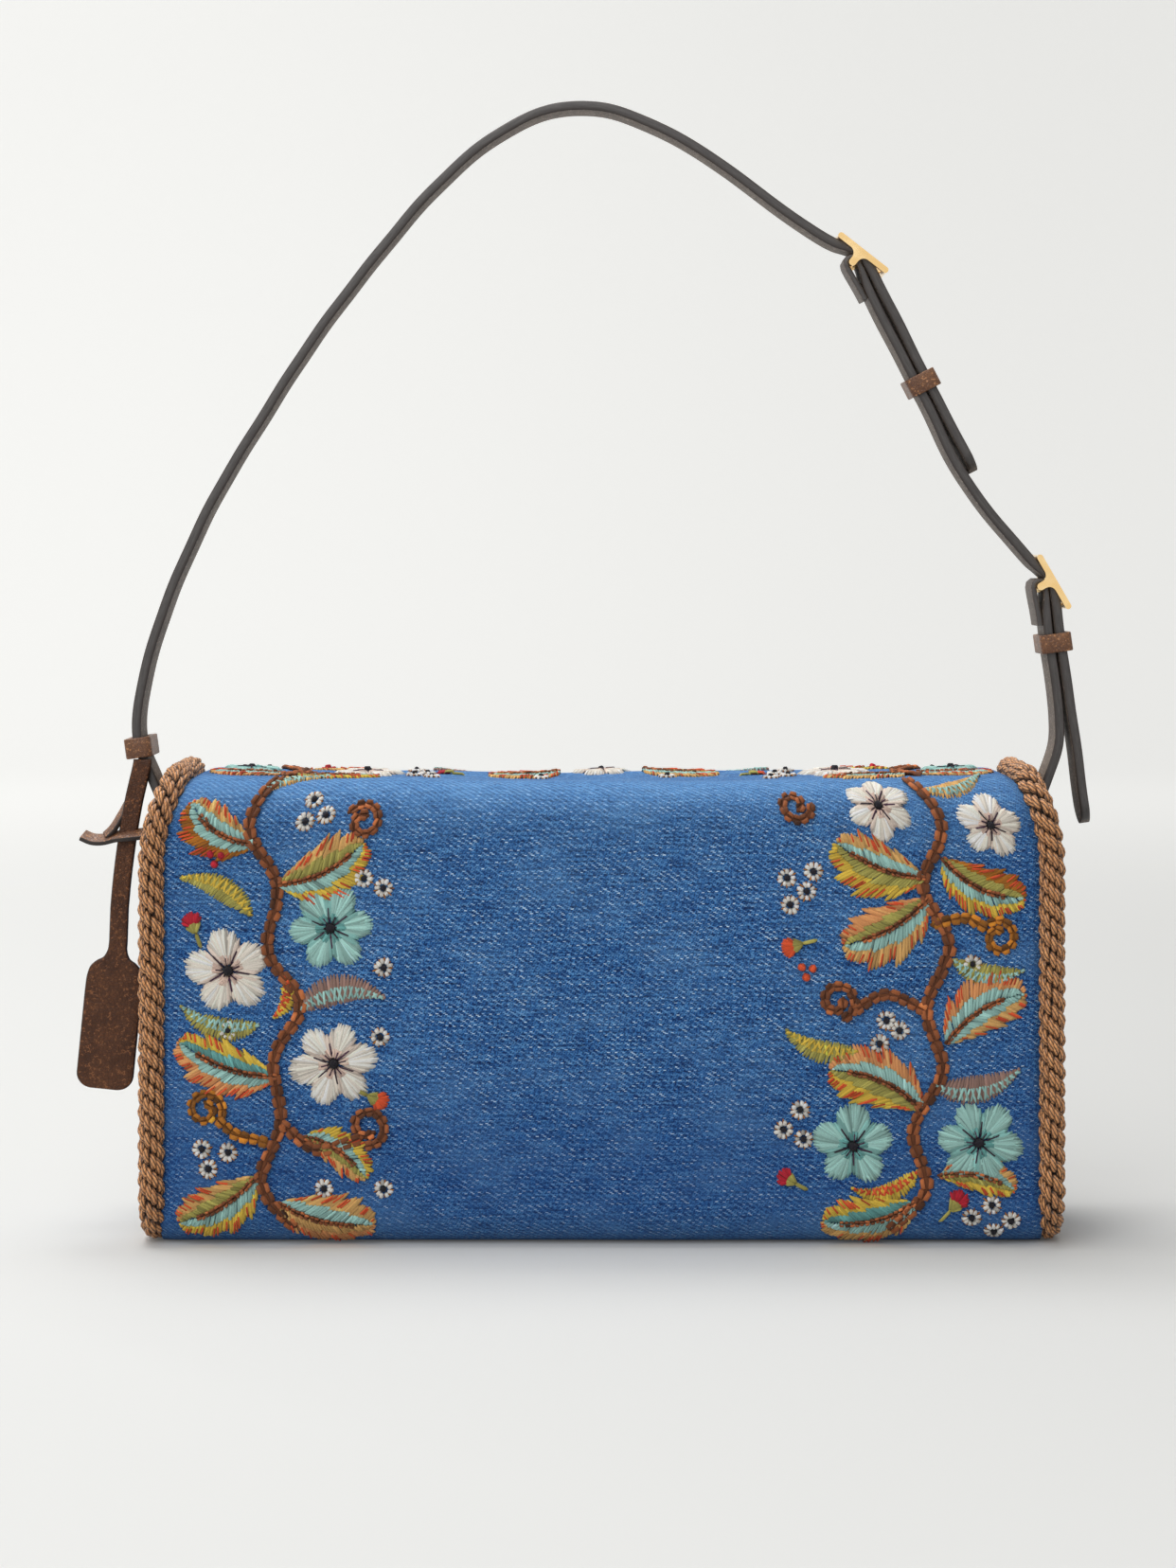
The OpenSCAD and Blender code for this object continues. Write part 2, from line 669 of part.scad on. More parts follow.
module keeper(bar, tail, s) {
    inner = tail_m - run_m + strap_t + 2 * slack;
    outer = inner + 2 * keeper_t;
    inner_w = strap_w + 2 * slack;
    outer_w = inner_w + 2 * keeper_t;
    round_r = keeper_t;
    p = turned(bar, tail, s, (tail_m + run_m) / 2, 0);
    color("saddlebrown") translate([p[0], 0, p[1]]) rotate([0, 90 + tail, 0])
        linear_extrude(keeper_w, center = true) difference() {
            union() {
                square([outer - 2 * round_r, outer_w], center = true);
                square([outer, outer_w - 2 * round_r], center = true);
                for (i = [-1, 1], j = [-1, 1])
                    translate([i * (outer / 2 - round_r), j * (outer_w / 2 - round_r)])
                        circle(round_r, $fn = round_fn);
            }
            square([inner, inner_w], center = true);
        }
}

// The rivets that hold the strap's feet to the gussets
rivet_head_t = 1.4;
washer_t = 1;
washer_gap = seam;
head_x = strap_foot + strap_t / 2 + slack;
washer_x = lining_x - lining_t - washer_gap;

module along_rivet(side, from, to, r) {
    translate([side * (from + to) / 2, 0, rivet_z]) rotate([0, 90, 0])
        cylinder(r = r, h = to - from, center = true, $fn = round_fn);
}

module rivet(side) {
    dome_r = rivet_head_r * 1.6;
    shank_from = washer_x - washer_t;
    color("gold") translate([0, 0, rivet_z]) rotate([0, 90 * side, 0]) rotate_extrude($fn = round_fn) {
        translate([0, shank_from]) square([rivet_r, head_x + rivet_head_t / 2 - shank_from]);
        intersection() {
            translate([0, head_x]) square([rivet_head_r, rivet_head_t]);
            translate([0, head_x + rivet_head_t - dome_r]) circle(dome_r, $fn = 2 * round_fn);
        }
    }
}

module rivet_washer(side) {
    color("gold") difference() {
        along_rivet(side, washer_x - washer_t, washer_x, rivet_head_r);
        along_rivet(side, washer_x - 2 * washer_t, washer_x + washer_t, rivet_r + pin_clear);
    }
}

// The tag hangs in front of the strap's left leg. Its loop goes round the leg
loop_h = 5;
loop_place_shares = [-0.998, 0.139];
loop_z = rivet_z + loop_place_shares[1] * strap_rise;
loop_x = loop_place_shares[0] * strap_spread;
loop_lean = -8;
loop_clear = 3 * slack;
tag_y = -strap_w / 2 - 2 * slack - tag_t / 2;
tag_hinge_z = loop_z - loop_h / 2 - tag_t;
tag_hinge_x = loop_x + neck_w / 4;
neck_l = 62;
// Places along the neck and its free end, as shares of the neck's length
neck_shares = [[0, 0], [-0.048, -0.22], [-0.094, -0.53], [-0.129, -1]];
tail_shares = [[-0.03, -0.2], [-0.115, -0.3], [-0.165, -0.36], [-0.235, -0.395], [-0.315, -0.38]];
under_shares = [[-0.165, -0.385], [-0.09, -0.4], [-0.03, -0.41]];
paddle_lean = 5.8;
paddle_corner_share = 0.26;
paddle_corner = paddle_corner_share * paddle_w;
neck_flare = neck_w / 2;

module tag_loop() {
    inner_x = strap_t + 2 * loop_clear;
    inner_y = strap_w + 4 * slack;
    color("saddlebrown") translate([loop_x, 0, loop_z]) rotate([0, loop_lean, 0])
        linear_extrude(loop_h, center = true) difference() {
            square([inner_x + 2 * tag_t, inner_y + 2 * tag_t], center = true);
            square([inner_x, inner_y], center = true);
        }
}

// The paddle hangs down from the origin and narrows to the neck in a pair of fillets
module paddle_outline() {
    reach = neck_w / 2 + neck_flare;
    for (side = [-1, 1], z = [-paddle_corner, paddle_corner - paddle_l])
        translate([side * (paddle_w / 2 - paddle_corner), z]) circle(paddle_corner, $fn = round_fn);
    translate([paddle_corner - paddle_w / 2, -paddle_l]) square([paddle_w - 2 * paddle_corner, paddle_l]);
    translate([-paddle_w / 2, paddle_corner - paddle_l]) square([paddle_w, paddle_l - 2 * paddle_corner]);
    difference() {
        translate([-reach, -neck_flare / 2]) square([2 * reach, 3 * neck_flare / 2]);
        for (side = [-1, 1]) translate([side * reach, neck_flare]) circle(neck_flare, $fn = round_fn);
    }
}

function along_neck(shares, t) = spline([for (s = shares) [s[0] * neck_l, s[1] * neck_l, t]]);

module tag() {
    // The strip's free end comes out of the slit in the neck and turns to the side
    end_t = 1.3;
    neck = along_neck(neck_shares, neck_w);
    foot = neck[len(neck) - 1];
    color("saddlebrown") translate([tag_hinge_x, tag_y, tag_hinge_z]) {
        ribbon(neck, tag_t);
        translate([foot[0], 0, foot[1]]) rotate([90, paddle_lean, 0])
            linear_extrude(tag_t, center = true) paddle_outline();
        rotate([0, 90, 0]) cylinder(r = tag_t / 2, h = neck_w, center = true, $fn = round_fn);
        ribbon(along_neck(tail_shares, end_t), neck_w);
        ribbon(along_neck(under_shares, end_t), neck_w);
    }
}

module gusset_left() { gusset(-1); }
module gusset_right() { gusset(1); }
module rivet_left() { rivet(-1); }
module rivet_right() { rivet(1); }
module rivet_washer_left() { rivet_washer(-1); }
module rivet_washer_right() { rivet_washer(1); }
module buckle_upper() { buckle(upper_bar, upper_slope); }
module buckle_lower() { buckle(lower_bar, lower_slope); }
module prong_upper() { prong(upper_bar, upper_slope); }
module prong_lower() { prong(lower_bar, lower_slope); }
module keeper_upper() { keeper(upper_bar, upper_tail, upper_keeper_s); }
module keeper_lower() { keeper(lower_bar, lower_tail, lower_keeper_s); }

back_panel();
base_panel();
front_panel();
gusset_left();
gusset_right();
rope_left();
rope_right();
lining();
inner_pocket();
base_board();
snap_socket();
snap_magnet();
rivet_left();
rivet_right();
rivet_washer_left();
rivet_washer_right();
flap_panel();
flap_lining();
rope_flap();
snap_stud();
strap_long();
strap_middle();
strap_short();
buckle_upper();
buckle_lower();
prong_upper();
prong_lower();
keeper_upper();
keeper_lower();
tag_loop();
tag();
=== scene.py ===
# %% [markdown]
# # A denim shoulder bag
# This script finishes a small flap bag: blue denim with crewel embroidery, a twisted rope
# along its edges, a leather strap with two buckles, and a tag. The bag's construction is
# loaded first. Each later cell makes one piece in its final look and puts it on that frame.
# %% Load the construction
import math

import bmesh
import bpy
import numpy as np
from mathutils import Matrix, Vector


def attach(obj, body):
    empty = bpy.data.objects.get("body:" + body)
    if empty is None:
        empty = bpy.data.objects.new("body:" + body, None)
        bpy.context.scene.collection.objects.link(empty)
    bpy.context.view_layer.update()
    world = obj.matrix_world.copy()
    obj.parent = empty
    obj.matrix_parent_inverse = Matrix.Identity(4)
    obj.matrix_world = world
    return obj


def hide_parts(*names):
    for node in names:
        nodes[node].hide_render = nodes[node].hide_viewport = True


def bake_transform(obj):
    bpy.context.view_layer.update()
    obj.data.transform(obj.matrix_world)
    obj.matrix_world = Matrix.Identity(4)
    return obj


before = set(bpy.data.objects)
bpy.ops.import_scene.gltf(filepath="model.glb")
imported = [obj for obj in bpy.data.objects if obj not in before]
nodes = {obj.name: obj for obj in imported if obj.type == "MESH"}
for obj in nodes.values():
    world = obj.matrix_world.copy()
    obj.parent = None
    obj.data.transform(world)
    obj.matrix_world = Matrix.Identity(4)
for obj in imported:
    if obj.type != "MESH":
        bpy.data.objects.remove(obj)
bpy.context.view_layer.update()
print("loaded", len(nodes), "nodes")

# %% [markdown]
# ## The bag's main sizes
# The bag was drawn in millimetres, and Blender works in metres. So the sizes stay in
# millimetres here and each finished mesh is made smaller by a thousand.
# The denim of the back, base, top and flap is one long cloth. A point on it is easiest to
# name by `x`, across the bag, and `s`, the way along the cloth from the middle of the base.
# %% The cloth's own coordinates
MM = 0.001
HALF_W, BODY_H, WALL = 132.0, 142.0, 2.2
PINCH, PINCH_H = 7.5, 26.0  # how far and over what height the top draws in
ROPE_OUT = 4.42  # from the cloth's edge to the middle of the rope
FLAP_LOW, FLAP_R = 27.0, 22.0  # the flap's lower edge and the radius of its corners
FLAT, LOW_R = 17.0, 13.0  # half of the base's flat part, and the radius of its bends
FRONT_Y, MOUTH_Z = 30.0, 124.5
rng = np.random.default_rng(7)

# Along the cloth: straight, bend, straight and so on. The angle is where its face looks
TURN_S = np.array([-17, 0, 17, 37.42, 152.42, 174.41, 212.51, 234.50, 336.50])
TURN_A = np.radians([270, 270, 270, 180, 180, 90, 90, 0, 0])
fine_s = np.linspace(TURN_S[0], TURN_S[-1], 6001)
fine_a = np.interp(fine_s, TURN_S, TURN_A)
step = fine_s[1] - fine_s[0]
run_y, run_z = np.sin(fine_a), -np.cos(fine_a)
fine_y = 17 + np.r_[0, np.cumsum((run_y[1:] + run_y[:-1]) / 2)] * step
fine_z = np.r_[0, np.cumsum((run_z[1:] + run_z[:-1]) / 2)] * step


def half_width(z):
    """Half of the bag's width at height z: the side edges draw in near the top."""
    return HALF_W - PINCH * np.maximum(0, (z - BODY_H + PINCH_H) / PINCH_H) ** 2


def bump_at(value, centre, width):
    """A smooth bump of height 1 at centre, which fades out over width on each side."""
    return np.exp(-((value - centre) / width) ** 2)


def puff(x, s):
    """How far the soft cloth stands off its pattern: padded faces, sagging top, slack waves."""
    side = np.abs(x) / HALF_W
    belly = (1 - side ** 4) * (2.0 * bump_at(s, 88, 46) + 1.3 * bump_at(s, 285, 50))
    top = bump_at(s, 193, 30) * (-1.9 * (1 - side ** 3) + 0.9 * side ** 6)
    waves = 0.28 * np.sin(x / 23 + s / 41) + 0.2 * np.sin(x / 11.5 - s / 29 + 1)
    waves = waves + 0.15 * np.sin(s / 17 + x / 60)
    rolled = -1.1 * np.exp(-np.maximum(HALF_W - np.abs(x), -1.0) / 1.6)
    off_floor = np.clip((s - 18) / 18, 0, 1)
    return (belly + top + waves * (1 - side ** 6) + rolled) * off_floor - 0.1


def on_cloth(x, s, lift=0.0):
    """The point of the cloth at x and s, lifted off its face by lift, in millimetres."""
    a = np.interp(s, fine_s, fine_a)
    out = puff(x, s) + lift
    z = np.interp(s, fine_s, fine_z)
    px = x * half_width(z) / HALF_W
    return np.stack([px, np.interp(s, fine_s, fine_y) + out * np.cos(a), z + out * np.sin(a)], -1)


print("the cloth is", round(fine_s[-1] - fine_s[0], 1), "mm long, its top at", round(fine_z.max(), 2))

# %% [markdown]
# ## How the pieces are built
# Most pieces here are a grid: rows of points along a piece and columns round or across it.
# numpy works out the whole grid at once, and one helper turns it into a mesh. Where two
# points of a grid fall on the same spot, they become one, which closes seams.
# %% Helpers for meshes


def grid_quads(rows, cols, start=0):
    """Four corners for each square of a grid of points that is stored row after row."""
    i, j = np.meshgrid(np.arange(rows - 1), np.arange(cols - 1), indexing="ij")
    a = start + i * cols + j
    return np.stack([a, a + 1, a + cols + 1, a + cols], -1).reshape(-1, 4)


def make_piece(name, points, quads, caps=(), uv=None, colour=None, flip=False, closed=False):
    """A smooth mesh from whole arrays: points in mm, quads, and caps that close its ends."""
    points = np.asarray(points, float).reshape(-1, 3)
    _, first, where = np.unique(np.round(points, 4), axis=0, return_index=True, return_inverse=True)
    where = where.reshape(-1)
    loops = [np.asarray(q).reshape(-1) for q in (quads, *caps)]
    sizes = np.concatenate([np.full(len(quads), 4)] + [[len(c)] for c in caps]).astype(int)
    corners = np.concatenate(loops).astype(int)
    mesh = bpy.data.meshes.new(name)
    mesh.vertices.add(len(first))
    mesh.vertices.foreach_set("co", (points[first] * MM).ravel())
    mesh.loops.add(len(corners))
    mesh.loops.foreach_set("vertex_index", where[corners])
    mesh.polygons.add(len(sizes))
    mesh.polygons.foreach_set("loop_start", np.r_[0, np.cumsum(sizes)[:-1]])
    mesh.polygons.foreach_set("use_smooth", np.ones(len(sizes), bool))
    mesh.update(calc_edges=True)
    if uv is not None:
        layer = mesh.uv_layers.new(name="weave")
        layer.data.foreach_set("uv", np.asarray(uv, float).reshape(-1, 2)[corners].ravel())
    if colour is not None:
        tint = mesh.color_attributes.new("tint", "FLOAT_COLOR", "POINT")
        rgba = np.c_[np.asarray(colour, float).reshape(-1, 3)[first], np.ones(len(first))]
        tint.data.foreach_set("color", rgba.ravel())
    mesh.validate()
    work = bmesh.new()
    work.from_mesh(mesh)
    if closed:
        bmesh.ops.recalc_face_normals(work, faces=work.faces)
    elif flip:
        bmesh.ops.reverse_faces(work, faces=work.faces)
    work.to_mesh(mesh)
    work.free()
    piece = bpy.data.objects.new(name, mesh)
    bpy.context.scene.collection.objects.link(piece)
    print(name, "has", len(mesh.polygons), "faces")
    return piece


def make_sheet(name, points, u, v, **more):
    """An open sheet: a grid of points, with the weave's own u and v in millimetres."""
    return make_piece(name, points, grid_quads(*u.shape), uv=np.stack([u, v], -1), **more)


def make_tube(name, grid, **more):
    """A closed piece: an outline carried along a path, with a flat cap on both ends."""
    rows, n = grid.shape[:2]
    more.setdefault("uv", np.zeros((rows * n, 2)))
    caps = [np.arange(n - 1)[::-1], (rows - 1) * n + np.arange(n - 1)]
    return make_piece(name, grid, grid_quads(rows, n), caps=caps, closed=True, **more)


def thicken(piece, amount):
    """Gives a sheet its thickness, inwards from the face that it shows."""
    wall = piece.modifiers.new("thickness", "SOLIDIFY")
    wall.thickness, wall.offset, wall.use_even_offset = amount * MM, -1, False


def of_faces(piece, what):
    """One vector for each face of a piece: its normal or its center."""
    values = np.zeros(len(piece.data.polygons) * 3)
    piece.data.polygons.foreach_get(what, values)
    return values.reshape(-1, 3)


def paint_faces(piece, index):
    """Gives each face the material with its number."""
    piece.data.polygons.foreach_set("material_index", np.asarray(index).astype(np.int32))


def unit(v):
    """Vectors made one long."""
    return v / np.linalg.norm(v, axis=-1, keepdims=True)


def square_to(direction, ahead):
    """A direction with its part along ahead taken out."""
    return unit(direction - ahead * (direction * ahead).sum(-1, keepdims=True))


def run_length(points):
    """How far along a line each of its points lies."""
    return np.r_[0, np.cumsum(np.linalg.norm(np.diff(points, axis=0), axis=1))]


def points_at(at, length, points):
    """The points of a line at given lengths along it."""
    return np.stack([np.interp(at, length, column) for column in np.transpose(points)], -1)


def spline(points, steps=8):
    """A smooth run through rows of points, with knots spaced by the root of their distance."""
    p = np.asarray(points, float)
    p = np.vstack([2 * p[0] - p[1], p, 2 * p[-1] - p[-2]])
    t = np.r_[0, np.cumsum(np.sqrt(np.linalg.norm(np.diff(p, axis=0), axis=1)))]
    n = len(p) - 3
    t0, t1, t2, t3 = (t[k:k + n, None, None] for k in range(4))
    p0, p1, p2, p3 = (p[k:k + n, None, :] for k in range(4))
    u = t1 + (t2 - t1) * (np.arange(steps) / steps)[None, :, None]
    a = ((t1 - u) * p0 + (u - t0) * p1) / (t1 - t0)
    b = ((t2 - u) * p1 + (u - t1) * p2) / (t2 - t1)
    c = ((t3 - u) * p2 + (u - t2) * p3) / (t3 - t2)
    d = ((t2 - u) * a + (u - t0) * b) / (t2 - t0)
    e = ((t3 - u) * b + (u - t1) * c) / (t3 - t1)
    curve = ((t2 - u) * d + (u - t1) * e) / (t2 - t1)
    return np.vstack([curve.reshape(-1, p.shape[1]), points[-1]])


def carry(path, side, out, profile):
    """Carries a closed profile along a path: each row is path + side * across + out * up."""
    rows = path[:, None] + side[:, None] * profile[..., 0:1] + out[:, None] * profile[..., 1:2]
    return np.concatenate([rows, rows[:, :1]], 1)


def rounded_box(w, h, r, steps=3):
    """A box outline w wide and h high whose corners have radius r, run anticlockwise."""
    a = np.linspace(0, math.pi / 2, steps + 1)
    a = a[None] + np.arange(4)[:, None] * math.pi / 2
    arcs = np.stack([np.cos(a), np.sin(a)], -1) * r
    middles = np.array([(1, 1), (-1, 1), (-1, -1), (1, -1)]) * [w / 2 - r, h / 2 - r]
    return (arcs + middles[:, None]).reshape(-1, 2)


print("helpers ready")

# %% [markdown]
# ## Materials
# A material here is a small graph of nodes. These helpers add a node, join it up and keep
# the recipes short. Colours are given as a screen shows them, from 0 to 255, and turned into
# the linear values that light works with.
# %% Helpers for materials


def rgb(r, g, b):
    """A screen colour turned into the linear colour that a shader needs."""
    c = np.array([r, g, b]) / 255
    lin = np.where(c <= 0.04045, c / 12.92, ((c + 0.055) / 1.055) ** 2.4)
    return (*lin, 1.0)


class Graph:
    """A material being put together: each method adds one node and returns its output."""

    def __init__(self, name, roughness=0.6, metallic=0.0, specular=0.5):
        self.material = bpy.data.materials.new(name)
        self.material.use_nodes = True
        self.tree = self.material.node_tree
        self.shader = self.tree.nodes["Principled BSDF"]
        self.put("Roughness", roughness)
        self.put("Metallic", metallic)
        self.put("Specular IOR Level", specular)

    def put(self, socket, value):
        """Sets a shader socket, or joins it to the output of another node."""
        if isinstance(value, bpy.types.NodeSocket):
            self.tree.links.new(value, self.shader.inputs[socket])
        else:
            self.shader.inputs[socket].default_value = value

    def node(self, kind, inputs=(), out=0, **settings):
        """Adds a node, sets it up, and joins or sets its inputs by number or name."""
        made = self.tree.nodes.new(kind)
        for key, value in settings.items():
            setattr(made, key, value)
        for key, value in (inputs.items() if isinstance(inputs, dict) else enumerate(inputs)):
            if isinstance(value, bpy.types.NodeSocket):
                self.tree.links.new(value, made.inputs[key])
            elif value is not None:
                made.inputs[key].default_value = value
        return made.outputs[out]

    def math(self, operation, *values):
        return self.node("ShaderNodeMath", values, operation=operation)

    def times(self, a, b):
        return self.math("MULTIPLY", a, b)

    def plus(self, a, b):
        return self.math("ADD", a, b)

    def wave(self, value, length):
        """A wave between -1 and 1 that repeats each time value grows by length."""
        return self.math("SINE", self.times(value, 2 * math.pi / length))

    def weave_place(self):
        """The piece's own flat coordinates, in millimetres."""
        return self.node("ShaderNodeUVMap", uv_map="weave")

    def object_place(self):
        """The place on the bag, in millimetres."""
        return self.stretched(self.node("ShaderNodeTexCoord", out=3), 1000, 1000, 1000)

    def parts(self, place):
        """The x and the y of a place."""
        x = self.node("ShaderNodeSeparateXYZ", (place,))
        return x, x.node.outputs[1]

    def tint(self):
        """The red and the green that are stored at the points of the mesh."""
        red = self.node("ShaderNodeSeparateColor", (self.node("ShaderNodeAttribute", attribute_name="tint"),))
        return red, red.node.outputs[1]

    def mix(self, share, a, b, blend="MIX"):
        """A colour between a and b; share is 0 for a and 1 for b."""
        return self.node("ShaderNodeMix", {0: share, 6: a, 7: b}, out=2, data_type="RGBA",
                         blend_type=blend)

    def ramp(self, value, low, high, to_low=0.0, to_high=1.0):
        """A value that runs smoothly from to_low to to_high while value goes from low to high."""
        return self.node("ShaderNodeMapRange", (value, low, high, to_low, to_high),
                         interpolation_type="SMOOTHSTEP")

    def noise(self, place, scale, detail=2.0, roughness=0.5):
        return self.node("ShaderNodeTexNoise", {"Vector": place, "Scale": scale, "Detail": detail,
                                                "Roughness": roughness}, noise_dimensions="3D")

    def uneven(self, place, x, y, detail=2.0, roughness=0.5):
        """Noise whose spots are 1 / x by 1 / y large."""
        return self.noise(self.stretched(place, x, y), 1.0, detail, roughness)

    def stretched(self, place, x, y, z=1.0):
        """The coordinates multiplied by x, y and z."""
        return self.node("ShaderNodeVectorMath", (place, (x, y, z)), operation="MULTIPLY")

    def bump(self, height, distance, strength=1.0):
        """Bends the light as if the surface stood up by height times distance, in mm."""
        self.put("Normal", self.node("ShaderNodeBump", {
            "Strength": strength, "Distance": distance * MM, "Height": height}))


def apply_material(piece, *graphs):
    """Puts materials on a piece in place of the ones it has."""
    piece.data.materials.clear()
    for g in graphs:
        piece.data.materials.append(g.material)


print("material helpers ready")

# %% [markdown]
# ## Denim
# Denim is a twill. Blue warp threads run up the cloth, and the white weft goes under three of
# them and over the fourth, where it shows as a short white dash. Each row starts one thread
# further on, so the dashes step down in diagonals. No two dashes are equally bright, a thick
# length of weft gives a pale streak across, and edges that rub have lost their dye.
# The hollows beside the dashes and the edges of each warp thread are darkened as painted shade.
# %% The denim material
WARP, WEFT, REPEAT = 0.583, 0.404, 4.0  # two thread widths in mm, and threads to a dash


def make_denim(name):
    """Twill drawn on the cloth's own millimetres: u across and v along the cloth."""
    g = Graph(name, roughness=0.85, specular=0.2)
    uv = g.weave_place()
    wobble = g.node("ShaderNodeTexNoise", {"Vector": uv, "Scale": 0.5, "Detail": 2.0}, out=1)
    shaken = g.node("ShaderNodeVectorMath", (wobble, (1.1, 0.8, 0), uv), operation="MULTIPLY_ADD")
    across, along = g.parts(shaken)
    a, b = g.math("DIVIDE", across, WARP), g.math("DIVIDE", along, WEFT)
    row = g.math("FLOOR", b)
    # Along each row: 0 in the middle of a dash and 2 halfway to the next one
    place = g.plus(g.plus(a, row), REPEAT / 2 - 0.5)
    from_dash = g.math("ABSOLUTE", g.math("SUBTRACT", g.math("FLOORED_MODULO", place, REPEAT),
                                          REPEAT / 2))
    hump_a, hump_b = (g.math("SINE", g.times(g.math("FRACT", v), math.pi)) for v in (a, b))
    dash = g.times(g.ramp(from_dash, 0.5, 1.0, 1.0, 0.0), g.ramp(hump_b, 0.15, 0.8))
    # Where a warp thread dives under the weft, the hollow beside the dash is darkened as painted shade
    shaded_pit = g.times(g.ramp(from_dash, 0.9, 1.15), g.ramp(from_dash, 1.25, 1.7, 1.0, 0.0))
    number = g.node("ShaderNodeCombineXYZ", (g.math("FLOOR", g.math("DIVIDE", place, REPEAT)), row))
    chance = g.node("ShaderNodeTexWhiteNoise", {"Vector": number}, noise_dimensions="2D")
    slub = g.uneven(shaken, 0.07, 2.3, 2.0, 0.6)
    warp_tone = g.uneven(shaken, 1.9, 0.3, 2.0, 0.6)
    cloud = g.uneven(shaken, 0.035, 0.05, 3.0, 0.6)
    blue = g.mix(g.ramp(warp_tone, 0.3, 0.7), DEEP_DYE_AND_SHADE_BLUE, MID_BLUE)
    # Uneven weft gives pale and dark streaks across, and uneven dye a fine grain
    streak, grain = g.uneven(shaken, 0.10, 1.5, 3.0, 0.65), g.uneven(shaken, 0.9, 1.3, 2.0, 0.7)
    dye = g.plus(g.times(streak, 0.5), g.times(grain, 0.5))
    blue = g.mix(g.ramp(dye, 0.49, 0.60, 0.0, 0.6), blue, FLECK_BLUE)
    blue = g.mix(g.ramp(dye, 0.38, 0.50, 0.95, 0.0), blue, DARK_DYE_AND_SHADE_BLUE)
    # Painted shade: the hollows beside the dashes and the edges of each warp thread
    dark = g.plus(g.times(shaded_pit, 0.85), g.ramp(hump_a, 0.0, 0.6, 0.35, 0.0))
    blue = g.mix(g.times(dark, g.ramp(chance, 0.0, 0.8, 0.5, 1.0)), blue, DARK_DYE_AND_SHADE_BLUE)
    bright = g.times(g.ramp(chance, 0.1, 0.95, 0.15, 0.9), g.ramp(slub, 0.42, 0.6, 0.3, 1.2))
    white = g.node("ShaderNodeClamp", (g.times(dash, bright),))
    cloth = g.mix(white, blue, g.mix(g.math("POWER", white, 2.0), FLECK_BLUE, FLECK_WHITE))
    # Tint: red pales worn places and, on the wrap, its top as painted light; green deepens the blue, on the
    # wrap as painted shade low down
    faded, deep = g.tint()
    rubbed_and_lit = g.times(faded, g.ramp(g.plus(dash, chance), 0.2, 1.6, 0.35, 1.0))
    cloth = g.mix(rubbed_and_lit, cloth, FADED_AND_LIT_BLUE)
    cloth = g.mix(g.times(deep, g.ramp(cloud, 0.3, 0.7, 0.35, 0.6)), cloth, DEEP_DYE_AND_SHADE_BLUE)
    g.put("Base Color", g.mix(g.ramp(cloud, 0.42, 0.72, 0.0, 0.16), cloth, FADED_AND_LIT_BLUE))
    height = g.plus(g.times(dash, 0.9), g.times(hump_a, 0.4))
    g.bump(g.math("SUBTRACT", height, g.times(shaded_pit, 0.5)), 0.13, 0.6)
    return g


DEEP_DYE_AND_SHADE_BLUE, MID_BLUE, DARK_DYE_AND_SHADE_BLUE = rgb(20, 58, 118), rgb(46, 108, 176), rgb(5, 24, 64)
FLECK_BLUE, FLECK_WHITE, FADED_AND_LIT_BLUE = rgb(108, 168, 220), rgb(212, 230, 244), rgb(112, 162, 212)
denim = make_denim("denim")
print("denim has", len(denim.tree.nodes), "nodes")

# %% [markdown]
# ## The denim cloth: back, base, top and flap
# On the real bag one length of denim goes up the back, over the top and down the flap. It is
# made here as one surface too, so the weave and the stitches run on over the top edge.
# The cloth isn't stiff: it swells over its padding, sags in the middle of the top and is
# rolled at its edges, where the dye has rubbed off. Its colour also has painted light: paler
# over the top, and a deeper blue low on the back and the flap as painted shade.
# %% Make the wrapped cloth


def flap_edge(s, spare):
    """Half of the cloth's width at s, plus a spare seam: the flap's lower corners are round."""
    z = np.interp(s, fine_s, fine_z)
    corner = FLAP_R + spare
    drop = np.clip(FLAP_LOW + FLAP_R - z, 0, corner)
    round_part = HALF_W - FLAP_R + np.sqrt(np.maximum(corner ** 2 - drop ** 2, 0))
    return np.where(s > 240, round_part, HALF_W + spare)


def cloth_wear_and_painted_light(x, s):
    """Red holds rubbed wear plus painted light over the top; green a deeper blue, painted shade low down."""
    side = np.abs(x) / HALF_W
    # Red: wear rubbed pale at the folds and edges, and painted light that pales the top of the wrap
    faded = 0.62 * bump_at(s, 167, 10) + 0.06 * bump_at(s, 150, 22) + 0.55 * bump_at(s, 225, 14)
    faded += 0.3 * bump_at(s, 193, 26) + 0.35 * bump_at(s, 26, 7) + 0.3 * bump_at(s, 335, 4)
    # Green: painted shade, a deeper blue low on the back and the flap; also deeper near the side edges
    deep = 0.8 * bump_at(s, 44, 30) + 0.5 * bump_at(s, 320, 40) + 0.35 * side ** 6
    return np.stack([np.clip(faded, 0, 1), np.clip(deep, 0, 1), np.zeros_like(x)], -1)


SPARE = 2.0  # the seam that goes under the rope
CORNER_S = 313.5  # where the flap's round corners begin
near_low = CORNER_S + (FLAP_R + SPARE) * np.sin(np.linspace(0, math.pi / 2, 22))
along = np.r_[np.linspace(-17, 17, 7), np.linspace(19, 37.4, 12), np.linspace(40, 150, 44),
              np.linspace(152.4, 174.4, 18), np.linspace(177, 210, 13), np.linspace(212.5, 234.5, 18),
              np.linspace(237, 312, 30), near_low]
share = np.linspace(-1, 1, 111)
share = np.sign(share) * (1 - (1 - np.abs(share)) ** 1.25)
grid_s, grid_u = np.meshgrid(along, share, indexing="ij")
grid_x = grid_u * flap_edge(grid_s, SPARE)
cloth = make_sheet("denim_wrap", on_cloth(grid_x, grid_s), grid_x, grid_s,
                   colour=cloth_wear_and_painted_light(grid_x, grid_s))
thicken(cloth, WALL)
apply_material(cloth, denim)
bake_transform(cloth)
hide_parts("back_panel", "base_panel", "flap_panel")

